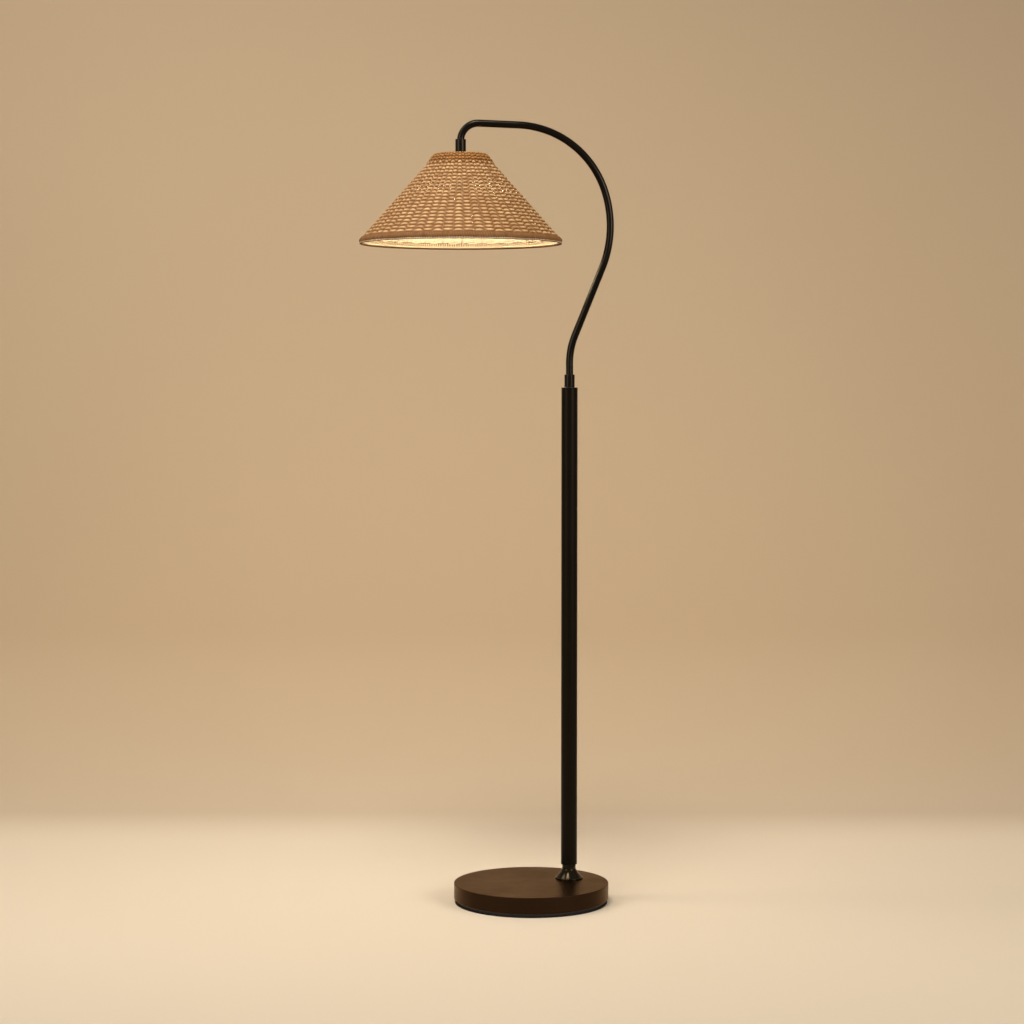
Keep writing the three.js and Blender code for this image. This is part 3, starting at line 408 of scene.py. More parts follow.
def grained(name, values, grain, depth, strength, spread=None, patches=None, **noise):
    """A finish with a bump of that grain and depth, in millimetres. Where a spread is given, the roughness
    strays down and up by its two values, with the grain or with patches of another size."""
    material, tree, shader = finish_of(name, values)
    place = add(tree, "ShaderNodeTexCoord", output="Object")
    pattern = {"Vector": place, "Scale": 1 / (grain * MM), "Detail": 2.0, **noise}
    height = add(tree, "ShaderNodeTexNoise", pattern)
    bump = add(tree, "ShaderNodeBump", {"Strength": strength, "Distance": depth * MM, "Height": height})
    tree.links.new(bump, shader.inputs["Normal"])
    if spread:
        if patches:
            pattern = {"Vector": place, "Scale": 1 / (patches * MM), "Detail": 3.0}
            height = add(tree, "ShaderNodeTexNoise", pattern)
        low, high = (values["Roughness"] + change for change in spread)
        # Most of a noise's values lie between 0.3 and 0.7.
        span = {"From Min": 0.3, "From Max": 0.7, "To Min": low, "To Max": high}
        rough = add(tree, "ShaderNodeMapRange", {"Value": height, **span})
        tree.links.new(rough, shader.inputs["Roughness"])
    return material


def coated(name, code, roughness, grain, depth, shine=0.5, flake="FFFFFF", metal=0.0):
    """Coated steel: the coat's fine grain breaks up the gloss, and handling leaves patches a little glossier.
    A bronze flake in the coat gives its shine the flake's colour."""
    values = {
        "Base Color": colour_of(code), "Roughness": roughness, "Metallic": metal,
        "Specular IOR Level": shine, "Specular Tint": linear(flake),
    }
    return grained(name, values, grain, depth, 0.35, (-0.04, 0.05), patches=70)


def moulded(name, code, roughness, grain, depth):
    """Moulded plastic, rubber or glaze with the fine texture of its mould."""
    values = {"Base Color": linear(code), "Specular IOR Level": 0.3, "Roughness": roughness}
    return grained(name, values, grain, depth, 0.4, (-0.05, 0.08))


def plain_metal(name, code, roughness, grain):
    """Bare or plated metal: lathe rings, or the grain of rolled stock, break up the gloss."""
    values = {"Base Color": linear(code), "Metallic": 1.0, "Roughness": roughness}
    return grained(name, values, grain, 0.02, 0.3, (-0.06, 0.1), Detail=3.0, Roughness=0.6)


def frosted_glass(name, code, roughness, strength):
    """Frosted glass, lit from inside: it glows evenly."""
    values = {
        "Base Color": linear(code), "Roughness": roughness,
        "Emission Color": colour_of("glow"), "Emission Strength": strength,
    }
    return grained(name, values, 0.6, 0.02, 0.3, Detail=1.0)


def clear_glass(name, code, roughness):
    """Clear drawn glass, a little wavy along its length."""
    values = {"Base Color": linear(code), "Roughness": roughness, "Transmission Weight": 1.0}
    return grained(name, values, 8, 0.1, 0.2)


def lit_phosphor(name, dark, light, strength):
    """Filament strip under its yellow phosphor, lit: beads of about 1.2 mm, darker and lighter."""
    glow = {"Emission Color": colour_of("glow"), "Emission Strength": strength}
    material, tree, shader = finish_of(name, {"Roughness": 0.6, **glow})
    place = add(tree, "ShaderNodeTexCoord", output="Object")
    beads = add(tree, "ShaderNodeTexNoise", {"Vector": place, "Scale": 1 / (1.2 * MM)})
    tones = {SHARE: beads, FIRST: linear(dark), SECOND: linear(light)}
    shown = add(tree, "ShaderNodeMix", tones, MIXED, data_type="RGBA")
    tree.links.new(shown, shader.inputs["Base Color"])
    return material


# How each finish is made: the function, the real material as its name, and then that function's values: hex
# colours or names of the panel's colours, roughness, and grain and depth in millimetres
FINISHES = {
    # Rattan core strands of the shade's wall
    "rattan": (rattan, "rattan_core_woven", "strand", "groove_shading", 0.75),
    # Rattan core stakes, which lie under the rows: painted browner, as shade
    "stake_rattan": (rattan, "rattan_core_stakes", "7C4C1F", "groove_shading", 0.6),
    # Rattan core strands over the shoulder, where the weave is closest: a little browner than the cone
    "shoulder_rattan": (rattan, "rattan_core_shoulder", "CC9858", "groove_shading", 0.9),
    # Rattan peel wrapped round the rim: duller and browner than the woven strands
    "rattan_band": (rattan, "rattan_peel_wrapped", "binding", "5A3819", 0.85),
    # Powder coated steel, satin: soft wide highlights
    "satin_black": (coated, "steel_powder_coated_satin_black", "black", 0.36, 0.5, 0.01),
    # Sheet steel with a baked coat full of bronze flake: brown where the backdrop meets the flat top at a low
    # angle, and nearly black face on
    "base_brown": (coated, "steel_bronze_flake_coated", "2F2217", 0.33, 0.5, 0.01, 0.5, "F9E7D8", 1.0),
    # Powder coated tube, satin: nearly black in front, with slightly lighter edges
    "pole_black": (coated, "steel_powder_coated_pole_black", "0A0805", 0.34, 0.5, 0.01, 0.12, "F0D8B0"),
    # Enamelled tube steel: smoother than powder coat, with narrow bright lines along the bends
    "arm_black": (coated, "steel_enamelled_semi_gloss_black", "060504", 0.19, 0.8, 0.006, 0.2, "FCE6C8"),
    # Enamelled casting, gloss: small hard highlights on the flare
    "gloss_black": (coated, "iron_enamelled_gloss_black", "0D0A05", 0.18, 1.2, 0.004, 0.24, "F8D8A8"),
    # Painted steel wire of the shade's frame: ivory, with uneven paint
    "frame_wire": (coated, "steel_wire_painted_ivory", "D8C9A8", 0.45, 2, 0.03),
    # Moulded rubber: matt, with a grain of 1 mm
    "black_rubber": (moulded, "rubber_moulded_black", "14110D", 0.82, 1, 0.05),
    # Nylon of the bushes: smooth and waxy
    "black_nylon": (moulded, "nylon_moulded_black", "1E1D1C", 0.45, 2, 0.01),
    # Phenolic plastic of the lamp holder: hard, with a soft gloss
    "black_plastic": (moulded, "phenolic_moulded_black", "1A1A1B", 0.32, 1.5, 0.01),
    # Extruded sheath of the inner lead: dull
    "lead_sheath": (moulded, "pvc_extruded_black", "202020", 0.55, 1.5, 0.01),
    # Glazed porcelain of the contact block: white, with a wet gloss
    "porcelain": (moulded, "porcelain_glazed_white", "EEEAE0", 0.2, 6, 0.02),
    # Drawn brass: warm yellow, softly lined
    "brass": (plain_metal, "brass_drawn", "C9A24F", 0.3, 0.8),
    # Nickel plated cap of the bulb: pale, with a clear gloss
    "nickel": (plain_metal, "brass_nickel_plated", "C8C5BD", 0.24, 1.5),
    # Zinc plated steel: pale grey, cloudy
    "zinc_steel": (plain_metal, "steel_zinc_plated", "B9BCC0", 0.38, 3),
    # Raw grey casting, with a sand grain of 2 mm
    "cast_iron": (plain_metal, "iron_cast_raw", "4A4845", 0.68, 2),
    # Frosted glass of the lit bulb: an even warm glow
    "bulb_glass": (frosted_glass, "glass_frosted_lit", "FFF4DC", 0.35, 42.0),
    # Clear glass of the bulb's stem: almost unseen but for its bright edges
    "stem_glass": (clear_glass, "glass_clear_drawn", "F4F4F0", 0.03),
    # Filament strip: beads of yellow light
    "filament": (lit_phosphor, "phosphor_strip_lit", "FFB54A", "FFE2A0", 20.0),
}
made_finishes = {}


def finish(name):
    """The finish of that name, made once."""
    if name not in made_finishes:
        maker, *values = FINISHES[name]
        made_finishes[name] = maker(*values)
    return made_finishes[name]


# Shade wall

CORNER = 49.4 * MM  # where the woven cone's line meets the plane of the flat top
PROUD = 2 * MM  # how far the top band stands over the woven cone
SHOULDER = 6 * MM  # how far the round shoulder runs each way from the band's corner
RIM_ROUND = 6 * MM  # radius of the rim's outer corner
RIM_THICKNESS = 7 * MM
RIM_ON_CONE = 6.5 * MM  # how far the rim reaches up the cone
# Middle of the rim's round, as radius and height, and the way there from the woven cone's corner
RIM_AT = np.array([float(rim_high[0] - rim_low[0]) / 2 - RIM_ROUND, float(rim_low[2]) + RIM_ROUND])
TO_RIM = np.array([RIM_AT[0] - CORNER, SHADE_TOP - RIM_AT[1]])
FAR = float(np.hypot(*TO_RIM))
STEEP = math.atan2(TO_RIM[0], TO_RIM[1]) + math.asin(RIM_ROUND / FAR)  # turn of the cone from upright
SLOPE = math.pi / 2 - STEEP
FLAT = CORNER + PROUD / math.cos(STEEP) - SHOULDER  # radius at which the level part ends
BEND = SHOULDER / math.tan(SLOPE / 2)  # radius of the shoulder's bend
# Distances along the band's outside from the axis, as wall() takes them
CONE_FROM = FLAT + BEND * SLOPE
CONE_ZERO = CONE_FROM - SHOULDER - PROUD * math.tan(STEEP)  # beside the corner of the woven cone's line
CONE_END = CONE_ZERO + math.sqrt(FAR**2 - RIM_ROUND**2)
BAND_INNER, BAND_OUTER = FLAT - 12 * MM, CONE_ZERO + 25 * MM
WALL = PROUD + 6 * MM  # depth of the wall's inside
RING_GAP = 0.3 * MM  # between the wire frame and the wall
STRAND = (8, 0.8)  # points and fullness of a strand's oval section


def wall(along, depth):
    """Radius, height and turn of the shade's wall, by the distance along the band's outside from the axis and
    the depth under it. The outside runs level, bends down round the shoulder, and goes on straight: the turn
    grows from zero to the cone's slope along the bend."""
    along, depth = np.broadcast_arrays(np.asarray(along, float), np.asarray(depth, float))
    turn = np.clip((along - FLAT) / BEND, 0, SLOPE)
    rest = np.maximum(along - CONE_FROM, 0)
    radius = np.minimum(along, FLAT) + BEND * np.sin(turn) + rest * np.cos(turn) - depth * np.sin(turn)
    height = SHADE_TOP - BEND * (1 - np.cos(turn)) - rest * np.sin(turn) - depth * np.cos(turn)
    return radius, height, turn


def round_axis(radius, height, angle):
    """Points at a radius, height and angle round the shade's axis."""
    return np.stack(
        np.broadcast_arrays(SHADE[0] + radius * np.cos(angle), SHADE[1] + radius * np.sin(angle), height), -1
    )


def downhill(turn, angle):
    """Unit vector down the wall's outside."""
    return np.stack(
        np.broadcast_arrays(np.cos(turn) * np.cos(angle), np.cos(turn) * np.sin(angle), -np.sin(turn)), -1
    )


def level(angle):
    """Unit vector round the axis."""
    return np.stack([-np.sin(angle), np.cos(angle), 0 * angle], -1)


def painted_inside(hollow, section):
    """The painted shade of a strand's outer part, and -1 on its cream-painted inner part."""
    inner = section[:, 1] < -0.1
    return np.where(inner, -1.0, hollow)


def stake_places(stakes, jitter):
    """Angle and number of each stake, from the one before the first to two past the last."""
    number = np.arange(-1, stakes + 2)
    return number * 2 * np.pi / stakes + jitter[number % stakes], number


def woven_rows(row, along, places, middle, sizes, sway=0.0, pairing=None):
    """Strands that pass over one stake and under the next. A strand's depth is a wave of the angle, the
    cosine of half a turn for each stake, lowered a little and to a power below one, so it rises over a stake
    for less than half of its length and dives quickly; the next row does the opposite. All rows sway down
    over one stake and up over the next, so the visible dashes of neighbouring stakes come closer to one
    height. pairing moves two rows at a time together between the stakes. A strand is wide over a stake and
    narrow under one. Shade is painted on it: darkest where it dives, and darker towards its edges."""
    width, thickness, wave = sizes
    lowered, steepness, squareness = 0.42, 0.6, 0.5
    # Stations from one stake to the next lie closer where the strand dives.
    shares = np.array([0, 0.17, 0.31, 0.42, 0.5, 0.58, 0.69, 0.83])
    count = len(places[0]) - 3
    angle = ((np.arange(count)[:, None] + shares) * 2 * np.pi / count).reshape(1, -1)
    index = np.interp(angle[0], *places)[None]
    over = (np.cos(np.pi * (index + row + 1)) - lowered) / (1 + lowered)
    over = np.sign(over) * np.abs(over) ** steepness
    # Each row wanders a little from its line, as a hand lays it.
    drift = 0.25 * MM * np.sin(3 * angle + 1.7 * row) + 0.2 * MM * np.sin(11 * angle + 2.9 * row)
    together = 0 if pairing is None else pairing(along) * (1 - np.abs(over)) * np.where(row % 2, -1, 1)
    broad = width(along) * (1.02 + 0.12 * over)
    side = np.cos(np.pi * index)
    along = along + drift + sway * np.sign(side) * np.abs(side) ** squareness + together
    radius, height, turn = wall(along, middle - wave * over)
    path = round_axis(radius, height, angle)
    tangent = unit(np.roll(path, -1, 1) - np.roll(path, 1, 1))
    first = downhill(turn, angle)
    second = unit(np.cross(first, tangent))
    section = oval(*STRAND)
    points = carried(path, first, second, section, broad / 2, thickness / 2 + 0 * along)
    # Painted shade: darkest where the strand dives under its neighbours, and darker towards its edges
    dive_shading = np.clip(0.75 - 0.9 * over, 0, 1)
    dark = np.maximum(dive_shading[..., None], 0.5 * section[:, 0] ** 4)
    return grid(points, along=True, hollow=painted_inside(dark, section))


class LAMP_OT_base(bpy.types.Operator):
    """Make the base's cover and its cable grommet"""

    bl_idname = "rattan_lamp.base"
    bl_label = "Base"

    def execute(self, context):
        sizes = context.scene.rattan_lamp.metalwork
        edge, sheet = sizes.base_radius, 1.5 * MM
        lip = edge - sheet - 5 * MM  # the cover turns in at its foot, as far as this radius
        outline = [
            (0, BASE_TOP, 0),
            (edge, BASE_TOP, 1.0 * MM),
            (edge, BASE_FOOT, 3.0 * MM),
            (lip, BASE_FOOT, 0.3 * MM),
            (lip, BASE_FOOT + sheet, 0.3 * MM),
            (edge - sheet, BASE_FOOT + sheet, 1.5 * MM),
            (edge - sheet, BASE_TOP - sheet, 0),
            (0, BASE_TOP - sheet, 0),
        ]
        make(
            "base_cover_pressed", [turned(rounded(outline, closed=False), closed=False, sides=192)],
            finish("base_brown"), "root", ["base_cover"], merge=True,
        )
        # The grommet's axis lies level and points out from the base's middle. Its two collars hold the cover.
        low, high = corners("cable_grommet")
        middle = (low + high) / 2
        bearing = math.atan2(middle[1], middle[0])
        cos, sin = math.cos(bearing), math.sin(bearing)
        level_axis = [[0, sin, cos], [0, -cos, sin], [1, 0, 0]]
        wide, body, bore, collar = 5.5 * MM, 4.4 * MM, 3.1 * MM, 1.5 * MM
        inside, outside = edge - 2.2 * MM, edge + 0.3 * MM
        outline = [
            (bore, inside - collar, 0.3 * MM), (wide, inside - collar, 0.4 * MM), (wide, inside, 0.2 * MM),
            (body, inside, 0), (body, outside, 0), (wide, outside, 0.2 * MM),
            (wide, outside + collar, 0.9 * MM), (bore, outside + collar, 0.5 * MM),
        ]
        place = (level_axis, [0, 0, middle[2]])
        make(
            "cable_grommet_moulded", [turned(rounded(outline), sides=48, place=place)],
            finish("black_rubber"), "root", ["cable_grommet"],
        )
        return {"FINISHED"}


class LAMP_OT_pole(bpy.types.Operator):
    """Make the pole, its flange and the upper bush"""

    bl_idname = "rattan_lamp.pole"
    bl_label = "Pole"

    def execute(self, context):
        sizes = context.scene.rattan_lamp.metalwork
        radius, bore, edge = sizes.pole_radius, sizes.pole_radius - 1.5 * MM, sizes.edge_round
        outline = [
            (bore, POLE_FOOT, 0.3 * MM), (radius, POLE_FOOT, edge),
            (radius, POLE_TOP, edge), (bore, POLE_TOP, 0.3 * MM),
        ]
        make(
            "pole_tube_drawn", [turned(rounded(outline), POLE)], finish("pole_black"), "root",
            ["pole_tube"],
        )
        # The flange's flare is a quadratic curve between the neck and the upright edge at its foot.
        neck, foot, lip, lip_round = 13.5 * MM, 27.4 * MM, 3 * MM, 0.8 * MM
        inner, casting = 6.7 * MM, 4 * MM
        top, low = POLE_FOOT - 9.2 * MM, BASE_TOP + lip
        t = np.linspace(0, 1, 28)[:, None]
        ends = np.array([neck, top]), np.array([foot - lip_round, low])
        pull = ends[0] + (ends[1] - ends[0]) * [0.2, 0.38]
        flare = (1 - t) ** 2 * ends[0] + 2 * t * (1 - t) * pull + t**2 * ends[1]
        above = [
            [inner, POLE_FOOT], [neck - 0.5 * MM, POLE_FOOT], [neck - 0.15 * MM, POLE_FOOT - 0.15 * MM],
            [neck, POLE_FOOT - 0.5 * MM], [neck, top + 1 * MM],
        ]
        corner = arc([foot - lip_round, low - lip_round], lip_round, np.pi / 2, 0, 7)[1:]
        under = [
            [foot, BASE_TOP], [foot - casting, BASE_TOP],
            [neck - casting, top - casting], [inner, top - casting],
        ]
        make(
            "pole_flange_flared", [turned(np.vstack([above, flare, corner, under]), POLE, sides=128)],
            finish("gloss_black"), "root", ["pole_flange"],
        )
        bush, sleeve, edge, length, thick = 7.3 * MM, 8.9 * MM, 10.1 * MM, 16 * MM, 0.8 * MM
        outline = [
            (bush, POLE_TOP - length, 0), (sleeve, POLE_TOP - length, 0), (sleeve, POLE_TOP, 0),
            (edge, POLE_TOP, 0), (edge, POLE_TOP + thick, 0.2 * MM), (bush, POLE_TOP + thick, 0.2 * MM),
        ]
        make(
            "upper_bush_moulded", [turned(rounded(outline, 3), POLE)], finish("black_nylon"), "root",
            ["upper_bush"],
        )
        return {"FINISHED"}


def arm_path():
    """Path of the bent tube, and two unit vectors square to it. Its heading, the angle from upright towards
    +X, is a straight-line function of the length: steady along a straight part, and changing by length over
    radius along a bend. The path is the sum of (sin heading, cos heading) along the length."""
    low = heights("arm_tube")[0]
    # The tube leans out to the right, comes back over in two bends, runs on nearly level and turns down.
    reach, rise, lean, back = 214.3 * MM, math.radians(2.5), math.radians(21.94), math.radians(41.92)
    foot_bend, side_bend, crown_bend, elbow = 142.8 * MM, 219.8 * MM, 186.3 * MM, 34 * MM
    foot_run, side_run, end_run = POLE_TOP + 48.6 * MM - low, 143 * MM, 11.3 * MM

    def run(top_run):
        radii = [0, foot_bend, 0, side_bend, crown_bend, 0, elbow, 0]
        turns = [0, lean, 0, -back, -(math.pi / 2 - rise + lean - back), 0, -(math.pi / 2 + rise), 0]
        straights = [foot_run, 0, side_run, 0, 0, top_run, 0, end_run]
        lengths = [s + r * abs(t) for s, r, t in zip(straights, radii, turns)]
        stops = np.concatenate([[0], np.cumsum(lengths)])
        headings = np.concatenate([[0], np.cumsum(turns)])
        fine = np.linspace(0, stops[-1], 20001)  # steps of about 0.05 mm
        heading = np.interp((fine[1:] + fine[:-1]) / 2, stops, headings)
        step = np.diff(fine)
        x = np.concatenate([[0], np.cumsum(np.sin(heading) * step)])
        z = low + np.concatenate([[0], np.cumsum(np.cos(heading) * step)])
        return fine, x, z, stops, headings

    # The nearly level part is as long as the reach asks for.
    short = run(0)[1][-1]
    fine, x, z, stops, headings = run((reach + short) / math.cos(rise))
    stations = np.concatenate([np.linspace(a, b, 46) for a, b in zip(stops[:-1], stops[1:])])
    length = np.unique(np.round(stations, 9))
    heading = np.interp(length, stops, headings)
    flat = 0 * length
    path = np.stack([np.interp(length, fine, x) + POLE[0], POLE[1] + flat, np.interp(length, fine, z)], -1)
    across = np.stack([flat, 1 + flat, flat], -1)
    other = np.stack([np.cos(heading), flat, -np.sin(heading)], -1)
    return path, across, other


NIPPLE = 5.2 * MM  # radius of the holes for the threaded nipple


class LAMP_OT_arm(bpy.types.Operator):
    """Make the bent arm, its ferrule and the head collar"""

    bl_idname = "rattan_lamp.arm"
    bl_label = "Arm"

    def execute(self, context):
        sizes = context.scene.rattan_lamp.metalwork
        path, across, other = arm_path()
        tube = carried(path, across, other, oval(40), sizes.arm_radius, sizes.arm_radius)
        make("arm_tube_bent", [grid(tube)], finish("arm_black"), "arm", ["arm_tube"], sharp=60)
        bore, wide = sizes.arm_radius + 0.2 * MM, 10.2 * MM
        low, high = heights("arm_ferrule")
        outline = [(bore, low, 0), (wide, low, 0.5 * MM), (wide, high, 0.7 * MM), (bore, high, 0.2 * MM)]
        make(
            "arm_ferrule_turned", [turned(rounded(outline), POLE)], finish("arm_black"), "arm",
            ["arm_ferrule"],
        )
        low, high = heights("head_collar")
        wide, bore, web = 10.5 * MM, sizes.arm_radius + 0.45 * MM, low + 16.2 * MM
        outline = [
            (bore, high, 0.2 * MM), (wide, high, 0.8 * MM), (wide, low, 0.4 * MM), (NIPPLE, low, 0),
            (NIPPLE, web, 0), (bore, web, 0),
        ]
        make(
            "head_collar_turned", [turned(rounded(outline), SHADE)], finish("arm_black"), "arm",
            ["head_collar"],
        )
        return {"FINISHED"}


HOLDER_RADIUS, CAP_HEIGHT = 19 * MM, 19 * MM


class LAMP_OT_holder(bpy.types.Operator):
    """Make the lamp holder's cap and threaded shell, the shade rings, and the switch's knob and shaft"""

    bl_idname = "rattan_lamp.holder"
    bl_label = "Lamp holder"

    def execute(self, context):
        black = finish("black_plastic")
        # Cap: a quarter circle down from its flat top, then a short skirt
        top, wide, joint, plastic = HOLDER_TOP, HOLDER_RADIUS, HOLDER_TOP - CAP_HEIGHT, 1.6 * MM
        flat = 10 * MM
        dome = arc([flat, top - (wide - flat)], wide - flat, np.pi / 2, 0, 16)
        skirt = rounded(
            [(wide, joint + 1 * MM, 0), (wide, joint, 0.4 * MM), (wide - plastic, joint, 0)], closed=False
        )
        inside = dome[::-1] - [plastic, plastic]
        outline = np.vstack([[[NIPPLE, top]], dome, skirt, inside, [[NIPPLE, top - plastic]]])
        make("holder_cap_moulded", [turned(outline, SHADE)], black, "arm", ["holder_cap"])

        # Shell: a plain band under the cap, then a rounded thread for the rings, as a wave of the height
        low, high = top - 74 * MM, joint + 6 * MM
        z = np.linspace(joint - 4 * MM, low + 3 * MM, 160)[:, None]
        pitch, depth = 2.5 * MM, 0.35 * MM
        ridges = wide - depth * (1 - np.cos(2 * np.pi * (z - low) / pitch)) / 2
        neck, bore = wide - 1.8 * MM, wide - 2.2 * MM
        above = [
            [bore, high], [neck, high], [neck, joint],
            [wide - 0.3 * MM, joint], [wide, joint - 0.3 * MM],
        ]
        below = [
            [wide - 0.1 * MM, low + 1 * MM], [wide - 0.6 * MM, low + 0.2 * MM],
            [wide - 1.1 * MM, low], [bore, low],
        ]
        outline = np.vstack([above, np.hstack([ridges, z]), below])
        make(
            "holder_shell_threaded", [turned(outline, SHADE)], black, "arm",
            ["holder_shell"],
        )

        # A shade ring's outside is fluted: its radius is a wave of the angle, smoothed off near both faces.
        bore, rim, flutes, depth, smooth = wide + 0.2 * MM, 26 * MM, 36, 0.7 * MM, 1.5 * MM
        for node in ("shade_ring_upper", "shade_ring_lower"):
            low, high = heights(node)
            outline = [
                (bore, low, 0.3 * MM), (rim, low, 0.6 * MM), (rim, high, 0.6 * MM), (bore, high, 0.3 * MM),
            ]
            part = turned(rounded(outline, 4), SHADE, sides=288)
            offset = part["points"][:, :2] - SHADE
            radius = np.hypot(*offset.T)
            share = np.clip((radius - (rim - smooth)) / smooth, 0, 1)
            flute = depth * share * (1 - np.cos(flutes * np.arctan2(offset[:, 1], offset[:, 0]))) / 2
            part["points"][:, :2] = SHADE + offset * (1 - flute / radius)[:, None]
            make(node + "_fluted", [part], black, "arm", [node], sharp=60)

        # Knob on a level axis towards -Y, fluted in the same way
        low, high = corners("switch_knob")
        towards = [[1, 0, 0], [0, 0, -1], [0, 1, 0]]
        place = (towards, [SHADE[0], SHADE[1], (low[2] + high[2]) / 2])
        near, far = SHADE[1] - float(high[1]), SHADE[1] - float(low[1])
        bore, rim, flutes, depth, smooth = 2.2 * MM, 5.5 * MM, 10, 0.1, 1.3 * MM
        outline = [(bore, near, 0), (rim, near, 0.5 * MM), (rim, far, 1.2 * MM), (0, far, 0)]
        hole = [[0, near + 0.5 * MM], [bore, near + 0.5 * MM]]
        part = turned(np.vstack([hole, rounded(outline, 6, closed=False)]), closed=False, sides=160)
        radius = np.hypot(*part["points"][:, :2].T)
        turn = np.arctan2(part["points"][:, 1], part["points"][:, 0])
        share = np.clip((radius - (rim - smooth)) / smooth, 0, 1)
        part["points"][:, :2] *= (1 - depth * share * (1 - np.cos(flutes * turn)) / 2)[:, None]
        part["points"] = part["points"] @ np.array(towards).T + place[1]
        make(
            "switch_knob_fluted", [part], black, "switch", ["switch_knob"], merge=True,
            sharp=60,
        )
        low, high = corners("switch_shaft")
        near, far = SHADE[1] - float(high[1]), SHADE[1] - float(low[1])
        outline = [(0, near, 0), (2 * MM, near, 0.1 * MM), (2 * MM, far, 0.1 * MM), (0, far, 0)]
        part = turned(rounded(outline, 3, closed=False), closed=False, sides=32, place=place)
        make("switch_shaft_drawn", [part], finish("brass"), "switch", ["switch_shaft"], merge=True)
        return {"FINISHED"}


class LAMP_OT_bulb(bpy.types.Operator):
    """Make the lit bulb with its screw cap"""

    bl_idname = "rattan_lamp.bulb"
    bl_label = "Bulb"

    def execute(self, context):
        low, high = heights("bulb_glass")
        cap_low, cap_high = heights("bulb_cap")
        ball, neck, thinner = 30 * MM, 12.4 * MM, 0.967
        middle = np.array([0, low + ball])
        # Ball from its tip to where it narrows, then a straight line into the neck
        ball_line = arc(middle, ball, -np.pi / 2, np.arccos((neck + 1 * MM) / ball), 60)
        ball_line[0, 0] = 0
        outside = np.vstack([ball_line, [[neck, cap_low - 0.5 * MM], [neck, high]]])
        inside = (outside - middle) * thinner + middle
        inside[0, 0] = 0
        inside[-1, 1] = high
        make(
            "bulb_glass_blown", [turned(np.vstack([outside, inside[::-1]]), SHADE, closed=False, sides=128)],
            finish("bulb_glass"), "arm", ["bulb_glass"], merge=True, sharp=60,
        )
        # Cap with a rolled thread, as a wave of the height
        wide, bore, pitch, depth = 13.1 * MM, 12.35 * MM, 3.6 * MM, 0.4 * MM
        z = np.linspace(cap_low + 1 * MM, cap_high - 3 * MM, 90)[:, None]
        ridges = wide - depth * (1 - np.cos(2 * np.pi * (z - cap_low) / pitch)) / 2
        shoulder = [
            [12.6 * MM, cap_high - 2 * MM], [8.5 * MM, cap_high], [6.5 * MM, cap_high],
            [bore - 0.6 * MM, cap_high - 2.4 * MM],
        ]
        outline = np.vstack([[[bore, cap_low], [13 * MM, cap_low]], np.hstack([ridges, z]), shoulder])
        make("bulb_cap_rolled", [turned(outline, SHADE)], finish("nickel"), "arm", ["bulb_cap"])
        return {"FINISHED"}


